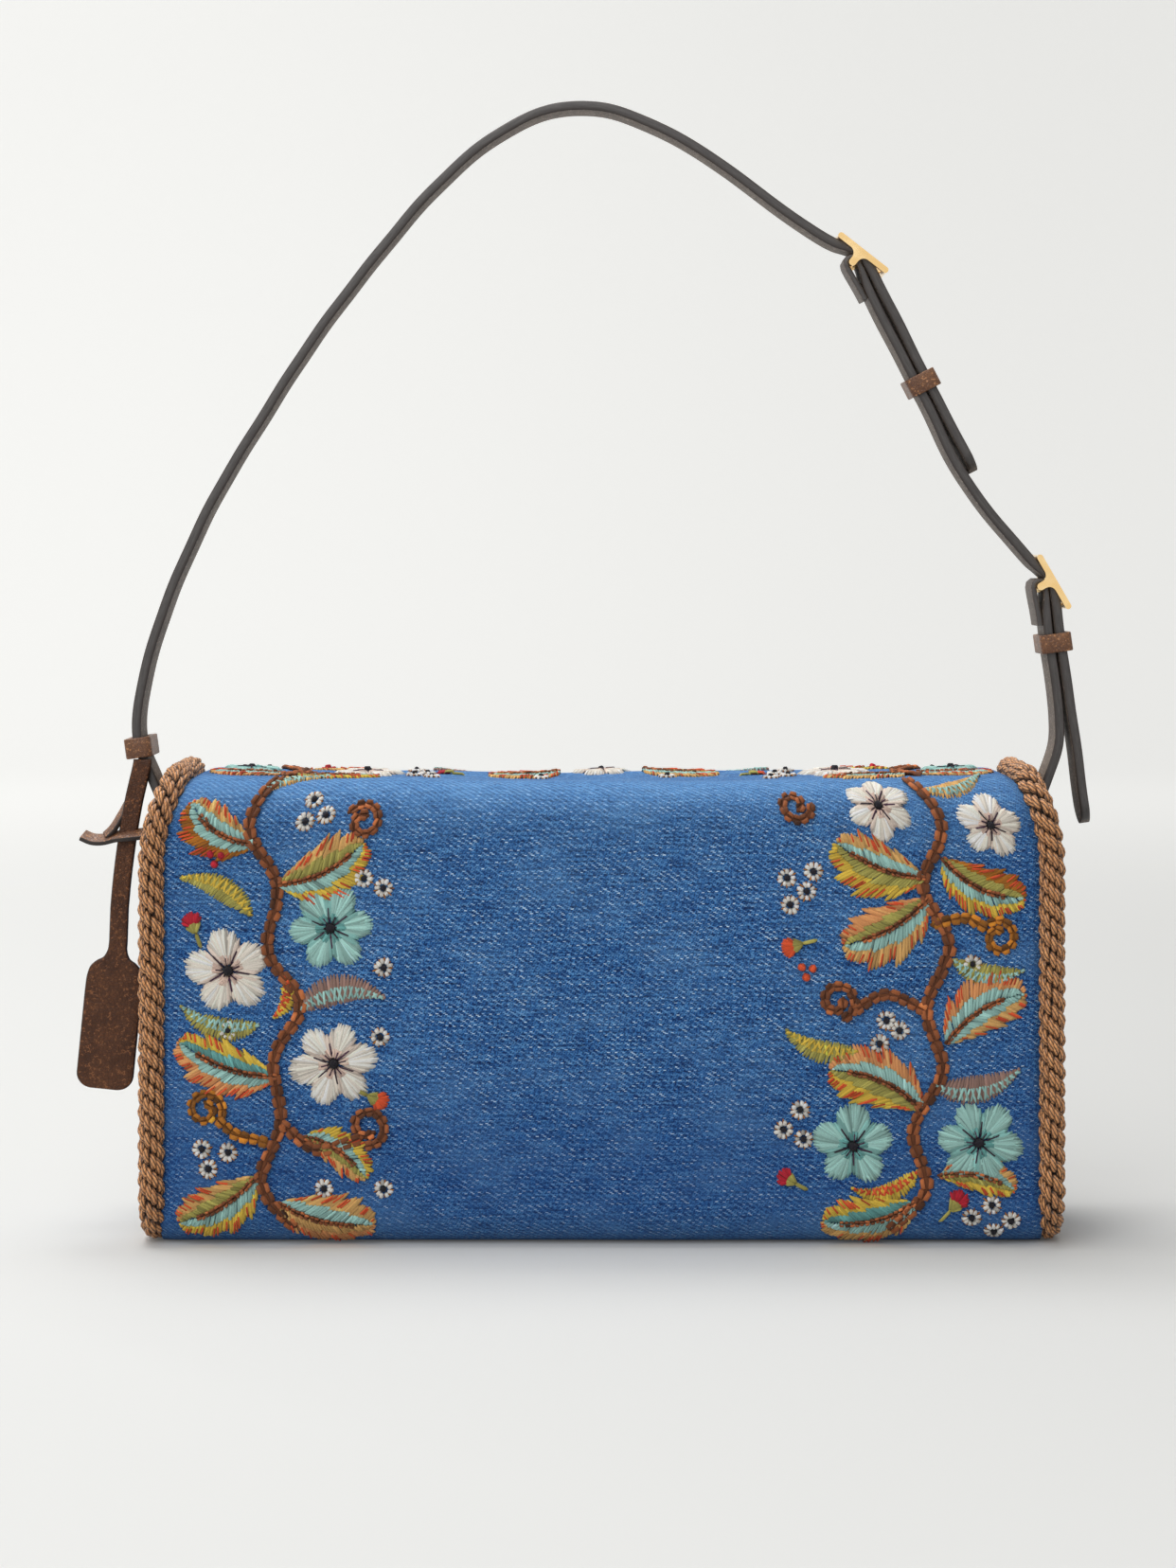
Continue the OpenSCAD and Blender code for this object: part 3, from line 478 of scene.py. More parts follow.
# %% [markdown]
# ## The embroidery
# The flowers are crewel work: thick wool floss in satin, fishbone and chain stitch. Each
# stitch is one short thread that comes up through the denim, lies over it, and goes down
# again, so each is made as a low arch of its own. The motifs below only decide where the
# stitches run. One helper then bends all of them onto the cloth at once.
# %% One stitch
CREAM, BLUSH, WHITE, INK = (255, 246, 232), (232, 202, 186), (246, 242, 234), (24, 20, 30)
AQUA, TEAL, TAN, GOLD = (166, 212, 204), (108, 172, 168), (228, 178, 108), (234, 198, 76)
OCHRE, EMBER, BARK = (182, 114, 36), (228, 88, 48), (156, 90, 52)
OLIVE, MAUVE, WINE, PEACH = (176, 168, 88), (164, 130, 118), (194, 34, 54), (238, 164, 104)
PALE, SEA = (CREAM, BLUSH), (AQUA, TEAL)
sewn = []


def sew(a, b, width, lift, colour, bow=0.0, vary=0.09, stray=0.15):
    """Adds stitches from points a to points b on the cloth. No two are quite the same."""
    a, b = np.atleast_2d(a).astype(float), np.atleast_2d(b).astype(float)
    n = max(len(a), len(b))
    a, b = (np.broadcast_to(end, (n, 2)) + rng.normal(0, stray, (n, 2)) for end in (a, b))
    shade = np.broadcast_to(np.asarray(colour, float), (n, 3))
    shade = np.clip(shade * (1 + vary * rng.standard_normal((n, 1))), 2, 255)
    sewn.append(np.c_[a, b, width * rng.uniform(0.88, 1.12, n), lift * rng.uniform(0.85, 1.15, n),
                      np.broadcast_to(bow, n), shade])


def polar(angle, radius):
    """Points at an angle and a radius, as x and s."""
    return np.stack([np.cos(angle) * radius, np.sin(angle) * radius], -1)


def left_of(ahead):
    """Directions a quarter turn to the left of ahead."""
    return np.stack([-ahead[:, 1], ahead[:, 0]], -1)


def knot(x, s, r, colour, height):
    """A knot: four short threads over each other."""
    at, half = np.array([x, s]), polar(np.arange(4) * math.pi / 4 + 0.3, r)
    sew(at - half, at + half, r * 1.1, height, colour, stray=0.05)


print("stitches ready")

# %% Flowers, leaves and stems


def blossom(x, s, r, petals, colours, turn):
    """A flower: in each petal long threads fan out side by side, with dark rays over them."""
    at, r, half = np.array([x, s]), r * 1.08, math.pi / petals
    petal, shade = np.array(colours)
    for k in range(petals):
        mid = turn + k * 2 * half
        f = np.linspace(-1, 1, int(r * 1.8))
        f = f[np.argsort(-np.abs(f))]
        reach = r * (1 - 0.30 * np.abs(f) ** 2.2 - 0.04 * (np.arange(len(f)) % 2))
        reach = reach * rng.uniform(0.93, 1.05)
        tint = np.where((np.abs(f) > 0.75)[:, None], 0.55 * petal + 0.45 * shade, petal)
        sew(at + polar(mid + f * half * 0.5, 0.16 * r), at + polar(mid + f * half * 0.94, reach),
            1.05, 0.95, tint)
        inner = np.linspace(-0.6, 0.6, 5) * half
        sew(at + polar(mid + inner, 0.1 * r), at + polar(mid + inner * 0.8, 0.4 * r), 0.7, 1.25, shade)
    rays = np.arange(2 * petals)
    reach = r * (0.32 + 0.22 * (rays % 2))
    rays = turn + half * rays
    sew(at + polar(rays, 0.08 * r), at + polar(rays, reach), 0.44, 1.5, (66, 38, 60), vary=0.2)
    knot(x, s, 0.12 * r, INK, 1.9)


def rib_line(base, tip, bend, t):
    """Points at shares t of a rib that bows sideways by bend of its length."""
    base, ahead = np.array(base, float), np.subtract(tip, base).astype(float)
    return base + ahead * t[:, None] + left_of(ahead[None]) * (bend * 4 * t * (1 - t))[:, None]


def rib_of(base, tip, bend, spacing):
    """Where the threads of a leaf start: shares, points on its rib, and which way it runs."""
    n = int(np.linalg.norm(np.subtract(tip, base)) / spacing)
    t = (np.arange(n) + 0.5) / n
    root = rib_line(base, tip, bend, t)
    return t, root, unit(np.gradient(root, axis=0))


def leaf(base, tip, width, outer, inner, bend, teeth=4):
    """A leaf: threads slant from the rib to a toothed edge, in two rows of colour a side."""
    t, root, ahead = rib_of(base, tip, bend, 0.92)
    full = np.sin(math.pi * np.clip(t, 0.03, 1) ** 0.72) ** 0.62
    full = full * (1 - 0.26 * (1 - (t * teeth + 0.3) % 1))
    for side, scale, edge, near in ((-1, 0.9, outer[1], inner[1]), (1, 1.0, outer[0], inner[0])):
        w = 1.15 * width * full * scale
        slant = left_of(ahead) * side * w[:, None] + ahead * (0.62 * w + 1.4)[:, None]
        sew(root + slant * 0.36, root + slant, 1.12, 0.62, edge)
        sew(root, root + slant * 0.54, 0.98, 0.9, near)
        pick = rng.random(len(t)) < 0.4
        sew((root + slant * 0.55)[pick], (root + slant * 1.03)[pick], 0.55, 1.12, EMBER)
    stem(rib_line(base, tip, bend, np.array([0, 0.3, 0.6, 0.84])), BARK, 1.9, 0.8, 1.1)


def crescent(base, tip, width, outer, zigzag, bend):
    """A bent leaf without a rib: slanted threads with a zigzag of another colour over them."""
    t, root, ahead = rib_of(base, tip, bend, 0.85)
    out = left_of(ahead) * width * (np.sin(math.pi * t ** 0.8) ** 0.8)[:, None]
    sew(root - out * 0.5, root + out * 0.55 + ahead * 1.2, 1.05, 0.65, outer)
    for start, end, lift in ((-0.42, 0.2, 1.05), (0.2, -0.42, 1.0)):
        sew((root + out * start)[::2], (root + out * end + ahead * 1.6)[::2], 0.7, lift, zigzag)


def stem(points, colour, wide=4.3, thread=1.6, lift=0.8):
    """Chain stitch along a smooth line: two threads bow apart over a darker third, as painted shade."""
    line = spline(np.array(points, float), 12)
    d = run_length(line)
    pitch = max(wide * 0.8, 1.0)
    at = np.arange(pitch / 2, d[-1], pitch)
    p, q = points_at(at, d, line), points_at(at + 0.5, d, line)
    ahead = unit(q - p + 1e-9)
    link, out = ahead * pitch, left_of(ahead) * wide
    # Painted shade: a darker, lower thread fills the middle of each link
    sew(p - link * 0.8, p + link * 0.8, wide * 0.5, lift * 0.6, np.array(colour) * 0.7)
    for side in (-1, 1):
        sew(p - link * 0.56 + out * side * 0.02, p + link * 0.6 + out * side * 0.1, thread,
            lift + 0.35 + 0.12 * side, colour, bow=side * wide * 0.3, vary=0.22)


def curl(x, s, r, turns, colour, wide, start, hand):
    """A spiral tendril in chain stitch."""
    a = np.linspace(0, turns * 2 * math.pi, int(6 * turns) + 4)
    stem(np.array([x, s]) + polar(start + hand * a, r * (1 - 0.66 * a / a[-1])), colour, wide, wide * 0.42)


def daisy(x, s, r=2.9):
    """A tiny flower: nine white rays round a dark eye, with thin yellow lines between them."""
    at, a = np.array([x, s]), x + np.arange(9) * 2 * math.pi / 9
    sew(at + polar(a, r * 0.35), at + polar(a, r), r * 0.42, 0.7, WHITE)
    sew(at + polar(a + 0.35, r * 0.5), at + polar(a + 0.35, r * 1.1), r * 0.15, 0.6, OCHRE)
    knot(x, s, r * 0.34, INK, 1.3)


def bud(x, s, size, turn, colour=WINE):
    """A closed bud: a fan of threads in a green cup."""
    at, f = np.array([x, s]), np.linspace(-1, 1, 11)
    sew(at + polar(turn + f * 0.2, size * 0.2), at + polar(turn + f * 0.72, size * (1 - 0.2 * f ** 2)),
        1.1, 0.75, colour)
    sew(at - polar(turn, size * 0.15), at + polar(turn + f * 0.8, size * 0.5), 0.85, 1.05, OLIVE)
    sew(at - polar(turn, size * 0.1), at - polar(turn, size * 0.9), 1.2, 0.7, OLIVE)


def berries(x, s, colour):
    """Three small knots close together."""
    for turn in range(3):
        knot(*(np.array([x, s]) + polar(turn * 2.1 + 0.4, 1.9)), 1.3, colour, 1.6)


print("motifs ready")

# %% [markdown]
# ## Where the flowers grow
# Two garlands climb the ends of the back, run over the top and come down the flap, where a
# third joins them across the front. The middle of the back is left bare. The layout is a new
# one, in the colours and the size of such work: pale blossoms, toothed leaves, brown stems.
# %% The garlands
UP = 24.42  # s minus height on the back


def put_all(place, plan):
    """Sews a plan: place turns its x and height into the cloth's x and s."""
    for motif, where, *rest in plan:
        if motif is stem:
            stem([place(*q) for q in where], *rest)
        elif motif in (leaf, crescent):
            motif(*(place(*q) for q in where), *rest)
        else:
            motif(*place(*where), *rest)


def mirrored(plan):
    """The same plan for the other hand: leaves bend to the other side."""
    return [(*row[:5], -row[5], *row[6:]) if row[0] in (leaf, crescent) else row for row in plan]


# Each row is a motif, where it goes, and what its own helper above asks for
LEFT_PLAN = [
    (stem, [(-93, 6), (-103, 20), (-97, 38), (-99, 58), (-91, 74), (-101, 90), (-98, 110),
        (-108, 128), (-104, 146)], BARK), (stem, [(-97, 38), (-86, 30), (-74, 33)], BARK, 3.8),
    (curl, (-71, 37), 6.2, 1.2, BARK, 3.2, -1.7, 1), (curl, (-120, 42), 5.8, 1.25, OCHRE, 3.0, -0.4, 1),
    (stem, [(-101, 32), (-111, 35), (-116, 39)], OCHRE, 3.6),
    (curl, (-73, 129), 5.6, 1.2, BARK, 3.0, 2.6, -1),
    (leaf, [(-98, 14), (-70, 7)], 9.5, (TAN, PEACH), (AQUA, TAN), -0.08),
    (leaf, [(-104, 22), (-127, 8)], 9.0, (GOLD, TAN), (AQUA, OLIVE), 0.08),
    (leaf, [(-98, 52), (-127, 62)], 8.6, (PEACH, GOLD), (AQUA, TEAL), 0.08),
    (leaf, [(-98, 110), (-73, 122)], 9.6, (TAN, GOLD), (OLIVE, AQUA), -0.10),
    (leaf, [(-105, 122), (-127, 134)], 8.0, (OCHRE, TAN), (AQUA, AQUA), 0.10),
    (crescent, [(-92, 72), (-66, 76)], 9.0, MAUVE, AQUA, 0.16),
    (crescent, [(-103, 68), (-127, 73)], 7.0, OLIVE, AQUA, 0.16),
    (crescent, [(-108, 138), (-88, 149)], 7.0, TAN, AQUA, 0.16),
    (crescent, [(-96, 84), (-99, 70)], 5.0, GOLD, EMBER, 0.2),
    (leaf, [(-90, 34), (-72, 22)], 6.4, (GOLD, TAN), (AQUA, OLIVE), 0.1, 3),
    (crescent, [(-106, 100), (-127, 112)], 7.5, OLIVE, GOLD, -0.14),
    (blossom, (-81, 56), 12.6, 6, PALE, 0.2), (blossom, (-113, 84), 12.8, 5, PALE, 0.5),
    (blossom, (-82, 97), 12.2, 6, SEA, 0.1),
    *[(daisy, q) for q in ((-84, 18), (-66, 18), (-66, 85), (-119, 24), (-113, 29), (-121, 30),
        (-66, 109), (-72, 112), (-90, 136), (-85, 131), (-91, 129), (-113, 66), (-67, 64))],
    (bud, (-123, 96), 6.0, 1.9), (bud, (-70, 46), 6.0, -0.4, EMBER), (berries, (-117, 118), WINE),
]

RIGHT_PLAN = [
    (stem, [(87, 5), (98, 18), (94, 36), (103, 54), (98, 72), (105, 92), (97, 110), (104, 128),
        (98, 146)], BARK), (stem, [(98, 72), (86, 77), (76, 72)], BARK, 3.8),
    (curl, (71, 75), 6.0, 1.2, BARK, 3.2, -1.2, 1),
    (stem, [(100, 98), (110, 100), (116, 97)], OCHRE, 3.6),
    (curl, (120, 94), 5.6, 1.25, OCHRE, 3.0, 2.2, -1), (curl, (60, 134), 5.4, 1.15, BARK, 3.0, 0.1, -1),
    (leaf, [(95, 14), (68, 8)], 9.2, (TAN, GOLD), (AQUA, TEAL), 0.10),
    (leaf, [(97, 42), (70, 54)], 9.6, (GOLD, PEACH), (OLIVE, AQUA), -0.10),
    (leaf, [(104, 62), (127, 77)], 9.2, (PEACH, TAN), (AQUA, AQUA), 0.10),
    (leaf, [(99, 106), (74, 92)], 9.6, (TAN, PEACH), (AQUA, OLIVE), 0.08),
    (leaf, [(98, 112), (72, 122)], 9.4, (GOLD, TAN), (OLIVE, AQUA), 0.08),
    (leaf, [(103, 118), (127, 106)], 8.4, (OCHRE, GOLD), (OLIVE, AQUA), -0.12),
    (crescent, [(100, 50), (126, 54)], 8.6, MAUVE, AQUA, -0.16),
    (crescent, [(106, 88), (127, 84)], 7.0, OLIVE, AQUA, -0.16),
    (crescent, [(102, 140), (122, 148)], 7.0, TAN, AQUA, -0.16),
    (crescent, [(96, 24), (76, 18)], 6.0, GOLD, EMBER, 0.2),
    (leaf, [(102, 22), (124, 18)], 6.2, (TAN, GOLD), (AQUA, OLIVE), 0.1, 3),
    (crescent, [(78, 60), (56, 66)], 7.0, OLIVE, GOLD, 0.14), (blossom, (114, 32), 12.6, 6, SEA, 0.9),
    (blossom, (76, 31), 12.0, 5, SEA, 0.3), (blossom, (119, 128), 9.6, 5, PALE, 0.2),
    (blossom, (86, 134), 10.4, 6, PALE, 0.5),
    *[(daisy, q) for q in ((112, 9), (118, 13), (124, 8), (119, 4), (60, 42), (55, 36), (61, 33),
        (84, 62), (90, 66), (86, 69), (62, 108), (56, 112), (64, 114), (57, 104), (112, 86))],
    (bud, (106, 12), 6.4, 0.9), (bud, (60, 92), 6.0, 3.4, EMBER), (bud, (58, 20), 5.6, 2.6),
    (berries, (62, 84), EMBER),
]

FLAP_PLAN = [
    (stem, [(104, 184), (98, 200), (106, 218), (98, 238), (107, 258), (97, 280), (106, 300),
        (98, 322)], BARK), (stem, [(98, 240), (86, 244), (75, 238)], BARK, 3.8),
    (curl, (69, 240), 6.0, 1.2, BARK, 3.2, 0.2, 1), (curl, (121, 226), 5.6, 1.2, OCHRE, 3.0, 1.0, -1),
    (curl, (76, 325), 5.6, 1.2, OCHRE, 3.0, 2.0, 1),
    (leaf, [(100, 188), (74, 180)], 8.6, (TAN, GOLD), (AQUA, OLIVE), 0.10),
    (leaf, [(104, 190), (126, 182)], 8.0, (PEACH, TAN), (AQUA, AQUA), 0.10),
    (leaf, [(102, 224), (76, 222)], 9.2, (GOLD, TAN), (AQUA, TEAL), 0.10),
    (leaf, [(104, 236), (127, 248)], 9.2, (TAN, PEACH), (AQUA, OLIVE), -0.10),
    (leaf, [(104, 262), (127, 282)], 9.2, (PEACH, GOLD), (OLIVE, AQUA), 0.10),
    (leaf, [(98, 284), (70, 276)], 9.4, (TAN, GOLD), (AQUA, AQUA), -0.10),
    (leaf, [(104, 304), (120, 324)], 8.6, (OCHRE, TAN), (OLIVE, AQUA), 0.10),
    (crescent, [(94, 262), (66, 264)], 8.6, MAUVE, AQUA, 0.14),
    (crescent, [(96, 316), (62, 320)], 8.0, OLIVE, GOLD, 0.1), (blossom, (78, 202), 11.5, 6, PALE, 0.1),
    (blossom, (117, 205), 10.0, 5, SEA, 0.4), (blossom, (84, 252), 11.0, 5, SEA, 0.6),
    (blossom, (115, 264), 9.5, 6, PALE, 0.2), (blossom, (82, 302), 12.4, 5, PALE, 0.0),
    *[(daisy, q) for q in ((62, 196), (58, 202), (62, 210), (56, 190), (60, 254), (56, 248),
        (64, 290), (58, 296), (118, 296), (124, 301), (118, 240), (112, 216))],
    (bud, (62, 226), 6.0, 2.6), (bud, (122, 312), 5.6, 1.2, EMBER), (berries, (92, 218), WINE),
]

MIDDLE_PLAN = [
    (stem, [(-46, 288), (-32, 272), (-16, 284), (0, 268), (16, 284), (32, 272), (46, 288)], BARK),
    (stem, [(-16, 284), (-20, 304), (-8, 316)], BARK, 3.8),
    (stem, [(16, 284), (20, 304), (8, 316)], BARK, 3.8), (curl, (-36, 308), 6.0, 1.2, OCHRE, 3.2, 0.2, 1),
    (curl, (36, 308), 6.0, 1.2, OCHRE, 3.2, 2.9, -1),
    (leaf, [(-32, 272), (-46, 250)], 9.0, (TAN, GOLD), (AQUA, OLIVE), 0.1),
    (leaf, [(32, 272), (46, 250)], 9.0, (GOLD, TAN), (OLIVE, AQUA), -0.1),
    (leaf, [(-14, 280), (-22, 254)], 8.6, (PEACH, TAN), (AQUA, TEAL), -0.1),
    (leaf, [(14, 280), (22, 254)], 8.6, (TAN, PEACH), (TEAL, AQUA), 0.1),
    (leaf, [(-2, 322), (-26, 326)], 7.0, (OCHRE, GOLD), (AQUA, AQUA), 0.1),
    (leaf, [(2, 322), (26, 326)], 7.0, (GOLD, OCHRE), (AQUA, AQUA), -0.1),
    (crescent, [(-30, 222), (-56, 214)], 8.0, MAUVE, AQUA, -0.14),
    (crescent, [(30, 222), (56, 214)], 8.0, MAUVE, AQUA, 0.14),
    (leaf, [(-14, 212), (-36, 202)], 7.6, (TAN, PEACH), (AQUA, OLIVE), 0.1),
    (leaf, [(14, 212), (38, 204)], 7.6, (GOLD, TAN), (OLIVE, AQUA), -0.1),
    (blossom, (0, 300), 12.4, 6, PALE, 0.3), (blossom, (0, 248), 12.0, 5, SEA, 0.1),
    (blossom, (-38, 232), 10.6, 5, PALE, 0.3), (blossom, (38, 232), 10.6, 5, PALE, 0.6),
    (blossom, (0, 216), 10.0, 6, PALE, 0.2),
    *[(daisy, q) for q in ((-14, 232), (14, 232), (-20, 238), (20, 238), (-50, 270), (50, 270),
        (-54, 302), (54, 302), (-20, 198), (22, 198), (-46, 322), (46, 322))],
    (bud, (-50, 204), 5.6, 2.6), (bud, (50, 203), 5.6, 0.6, EMBER), (berries, (-8, 262), WINE),
    (berries, (8, 262), EMBER),
]


def stitch_mesh(name, rows):
    """Bends all stitches onto the cloth: four rings of five points make each low arch."""
    ax, asn, bx, bsn, width, lift_up, bow = rows[:, :7].T[:, :, None]
    t = np.array([0, 0.2, 0.8, 1.0])
    fat = np.array([0.42, 1.0, 1.0, 0.42])
    high = np.array([-0.25, 0.94, 0.94, -0.25])
    rings, around = len(t), 6
    dx, ds = bx - ax, bsn - asn
    size = np.maximum(np.hypot(dx, ds), 1e-6)
    nx, ns = -ds / size, dx / size
    arch = bow * np.sin(t * math.pi) ** 0.6
    mx, ms = (v[:, :, None] for v in (ax + dx * t + nx * arch, asn + ds * t + ns * arch))
    q = np.linspace(0, 2 * math.pi, around) + math.pi / 2
    thick = (width * fat)[:, :, None]
    across = 0.5 * thick * np.cos(q)
    rise = ((lift_up - 0.15) * high)[:, :, None] + 0.34 * thick * np.sin(q)
    pts = on_cloth(mx + nx[:, None] * across, ms + ns[:, None] * across, rise)
    starts = np.arange(len(rows)) * rings * around
    quads = (grid_quads(rings, around)[None] + starts[:, None, None]).reshape(-1, 4)
    ring = np.arange(5)
    caps = [s0 + k for s0 in starts for k in (ring[::-1], (rings - 1) * around + ring)]
    lin = np.array([rgb(*c)[:3] for c in rows[:, 7:10]])
    uv = np.stack([(size * t)[:, :, None] + 0 * across, across / 0.5], -1)
    return make_piece(name, pts, quads, caps=caps, uv=uv, closed=True,
                      colour=np.repeat(lin, rings * around, 0))


print("plans have", len(LEFT_PLAN + RIGHT_PLAN + 2 * FLAP_PLAN + MIDDLE_PLAN), "motifs")

# %% Wool floss, and the sewing
floss = Graph("wool_floss", roughness=0.75, specular=0.25)
floss_place = floss.weave_place()
floss_u, floss_v = floss.parts(floss_place)
floss_lines = floss.wave(floss.plus(floss.times(floss_u, 0.35), floss_v), 0.36)
fuzz = floss.uneven(floss_place, 1.2, 7.0, 3.0, 0.7)
thread = floss.node("ShaderNodeAttribute", attribute_name="tint")
# Painted shade: dark lines between the strands of the floss
groove_shade = floss.mix(1.0, thread, (0.52, 0.49, 0.47, 1), "MULTIPLY")
thread = floss.mix(floss.ramp(floss_lines, -1.0, 0.1, 0.6, 0.0), thread, groove_shade)
thread = floss.mix(floss.ramp(fuzz, 0.35, 0.75, 0.0, 0.2), thread, (0.9, 0.88, 0.85, 1), "SOFT_LIGHT")
floss.put("Base Color", thread)
floss.bump(floss.plus(floss_lines, floss.times(fuzz, 1.5)), 0.06, 0.7)
floss.put("Sheen Weight", 0.08)

for name, plan, place in (("embroidery_back_left", LEFT_PLAN, lambda x, z: (x, z + UP)),
                          ("embroidery_back_right", RIGHT_PLAN, lambda x, z: (x, z + UP)),
                          ("embroidery_flap_left", mirrored(FLAP_PLAN), lambda x, s: (-x, s)),
                          ("embroidery_flap_right", FLAP_PLAN, lambda x, s: (x, s)),
                          ("embroidery_flap_middle", MIDDLE_PLAN, lambda x, s: (x, s))):
    sewn.clear()
    put_all(place, plan)
    work = stitch_mesh(name, np.concatenate(sewn))
    apply_material(work, floss)
    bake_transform(work)
    print(name, "has", sum(map(len, sewn)), "stitches")

# %% [markdown]
# ## The front panel and the gussets
# Under the flap lies a plain front panel of the same denim with a turned hem. The gussets
# are soft, so their middles fall in a little between the front and the back.
# %% Make the front and the gussets
bend = np.radians(270 + 90 * np.r_[0, np.linspace(0.1, 1, 9)])
front_yz = np.vstack([np.stack([FLAT + LOW_R * np.cos(bend), LOW_R + LOW_R * np.sin(bend)], -1),
                      np.linspace((FRONT_Y, 15), (FRONT_Y, MOUTH_Z), 40)])
front_a = np.r_[bend, np.full(40, 2 * math.pi)]
row, col = np.meshgrid(np.arange(len(front_yz)), np.linspace(-1, 1, 81), indexing="ij")
fy, fz = front_yz[row].transpose(2, 0, 1)
soft = 0.5 * (1 - col ** 4) * np.sin(np.clip((fz - LOW_R) / 105, 0, 1) * math.pi)
front_pts = np.stack([col * half_width(fz), fy + soft * np.cos(front_a[row]),
                      fz + soft * np.sin(front_a[row])], -1)
# Faded at the hem and along the lower bend, deeper blue between them
faded = np.clip(0.8 * bump_at(fz, MOUTH_Z, 2.2) + 0.5 * bump_at(fz, 4, 6), 0, 1)
front = make_sheet("denim_front", front_pts, col * HALF_W, -run_length(front_yz)[row], flip=True,
                   colour=np.stack([faded, 0.35 * bump_at(fz, 60, 60), 0 * fz], -1))
thicken(front, WALL)
apply_material(front, denim)
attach(front, "shell")
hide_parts("front_panel")


GUSSET_X, GUSSET_Y, GUSSET_LOW = 130.6, 27.6, 2.3  # outer face, half of the width, lowest point


def gusset_fall(share, z):
    """How far a gusset falls in, at a share of its half width and at a height."""
    high = np.sin(np.clip((z - GUSSET_LOW) / 123, 0, 1) * math.pi) ** 0.8
    return 3.2 * (1 - np.clip(share, -1, 1) ** 2) * high * np.clip((104 - z) / 22, 0, 1)


gy, gz = np.meshgrid(np.linspace(-1, 1, 31), np.linspace(0, 1, 45), indexing="ij")
y = gy * GUSSET_Y
in_bend = np.clip((np.abs(y) - 16.9) / 10.7, 0, 1)
low = GUSSET_LOW + 10.7 * (1 - np.sqrt(1 - in_bend ** 2))
z = low + (125 + 1.8 * gy ** 2 - low) * gz
for side, name in ((-1, "gusset_left"), (1, "gusset_right")):
    gx = side * (GUSSET_X - gusset_fall(gy, z) - 0.12 * np.sin(z / 6) * (1 - gy ** 2))
    gusset = make_sheet("denim_" + name, np.stack([gx, y, z], -1), y, z, flip=side > 0,
                        colour=np.stack([0.7 * bump_at(gz, 1, 0.03), 0.3 + 0 * gz, 0 * gz], -1))
    thicken(gusset, 2.0)
    apply_material(gusset, denim)
    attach(gusset, "shell")
    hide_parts(name)

# %% [markdown]
# ## The lining
# Inside hangs a bag of cotton twill, sewn in at the mouth, with one slip pocket on its back
# wall. The flap has a facing of its own. Each is one sheet that the Solidify modifier makes
# thick. The sheet is worked out on the same coordinates as the cloth that it lies against.
# %% Make the lining bag and its pocket
lining_cloth = Graph("lining_cloth", roughness=0.9, specular=0.2)
lining_place = lining_cloth.weave_place()
rib = lining_cloth.wave(lining_cloth.plus(*lining_cloth.parts(lining_place)), 1.1)
speck = lining_cloth.uneven(lining_place, 1.5, 1.5, 3.0, 0.7)
lining_cloth.put("Base Color", lining_cloth.mix(lining_cloth.plus(lining_cloth.times(rib, 0.2), speck),
                                                rgb(120, 96, 70), rgb(178, 152, 118)))
lining_cloth.bump(rib, 0.08, 0.5)

# A closed way round the bag's rectangle, with its points evenly spaced
AROUND, DEEP = 240, 27.5
box = rounded_box(2 * 128.4, 2 * DEEP, 3.0, 6)
box = np.vstack([box, box[:1]])
box_at = run_length(box)
way_at = np.linspace(0, box_at[-1], AROUND + 1)
way_x, way_y = points_at(way_at, box_at, box).T
# Rows go out over the bottom first, round its long edges, and up the walls to the mouth
turn = np.linspace(0, math.pi / 2, 9)[1:]
out_share = np.r_[np.linspace(0.06, 1, 8), np.ones(36)][:, None]
up_z = np.r_[np.full(8, 4.1), 14.1 - 10 * np.cos(turn), np.linspace(17, 124.3, 28)][:, None]
deep = np.r_[np.full(8, 17.0), 17 + 10 * np.sin(turn), np.full(28, 27.0)][:, None] / DEEP
hang = np.sin(np.clip((up_z - 14) / 110, 0, 1) * math.pi) * (np.abs(way_x) < 126)
slack = hang * (0.5 + 0.35 * np.sin(way_at / 9.5) * np.sin(up_z / 31))
follow = (np.abs(way_x) > 126.5) * np.sign(way_x) * (gusset_fall(way_y / GUSSET_Y, up_z) + 0.25)
bag_x, bag_y, bag_z, bag_u = np.broadcast_arrays(
    (way_x - follow) * out_share, way_y * (out_share * deep) - np.sign(way_y) * slack, up_z, way_at)
lining_bag = make_sheet("lining_bag", np.stack([bag_x, bag_y, bag_z], -1), bag_u, bag_z,
                        caps=[np.arange(AROUND)[::-1]])
thicken(lining_bag, 0.8)
apply_material(lining_bag, lining_cloth)
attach(lining_bag, "shell")
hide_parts("lining")

px, pz = np.meshgrid(np.linspace(-70, 70, 57), np.linspace(47.3, 113.3, 27), indexing="ij")
bag_out = (1 - (px / 70) ** 4) * np.clip((pz - 47.3) / 66, 0, 1) ** 2
pocket = make_sheet("lining_pocket", np.stack([px, -26.0 + 1.1 * bag_out, pz], -1), px, pz, flip=True)
thicken(pocket, 0.7)
apply_material(pocket, lining_cloth)
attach(pocket, "shell")
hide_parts("inner_pocket")

# %% Make the flap's facing
facing_s = np.r_[np.linspace(166, 174.4, 6), np.linspace(177, 210, 12), np.linspace(212.5, 234.5, 14),
                 np.linspace(237, 312, 24)]
SET_IN = 2.4  # how far the facing stays inside the flap's edge
low_s = CORNER_S + (FLAP_R - SET_IN) * np.sin(np.linspace(0, math.pi / 2, 16))
face_s, face_u = np.meshgrid(np.r_[facing_s, low_s], np.linspace(-1, 1, 81), indexing="ij")
face_x = face_u * flap_edge(face_s, -SET_IN)
facing_sheet = make_sheet("flap_facing", on_cloth(face_x, face_s, -WALL - 0.95), face_x, face_s,
                          flip=True)
thicken(facing_sheet, 0.85)
apply_material(facing_sheet, lining_cloth)
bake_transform(facing_sheet)
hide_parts("flap_lining")

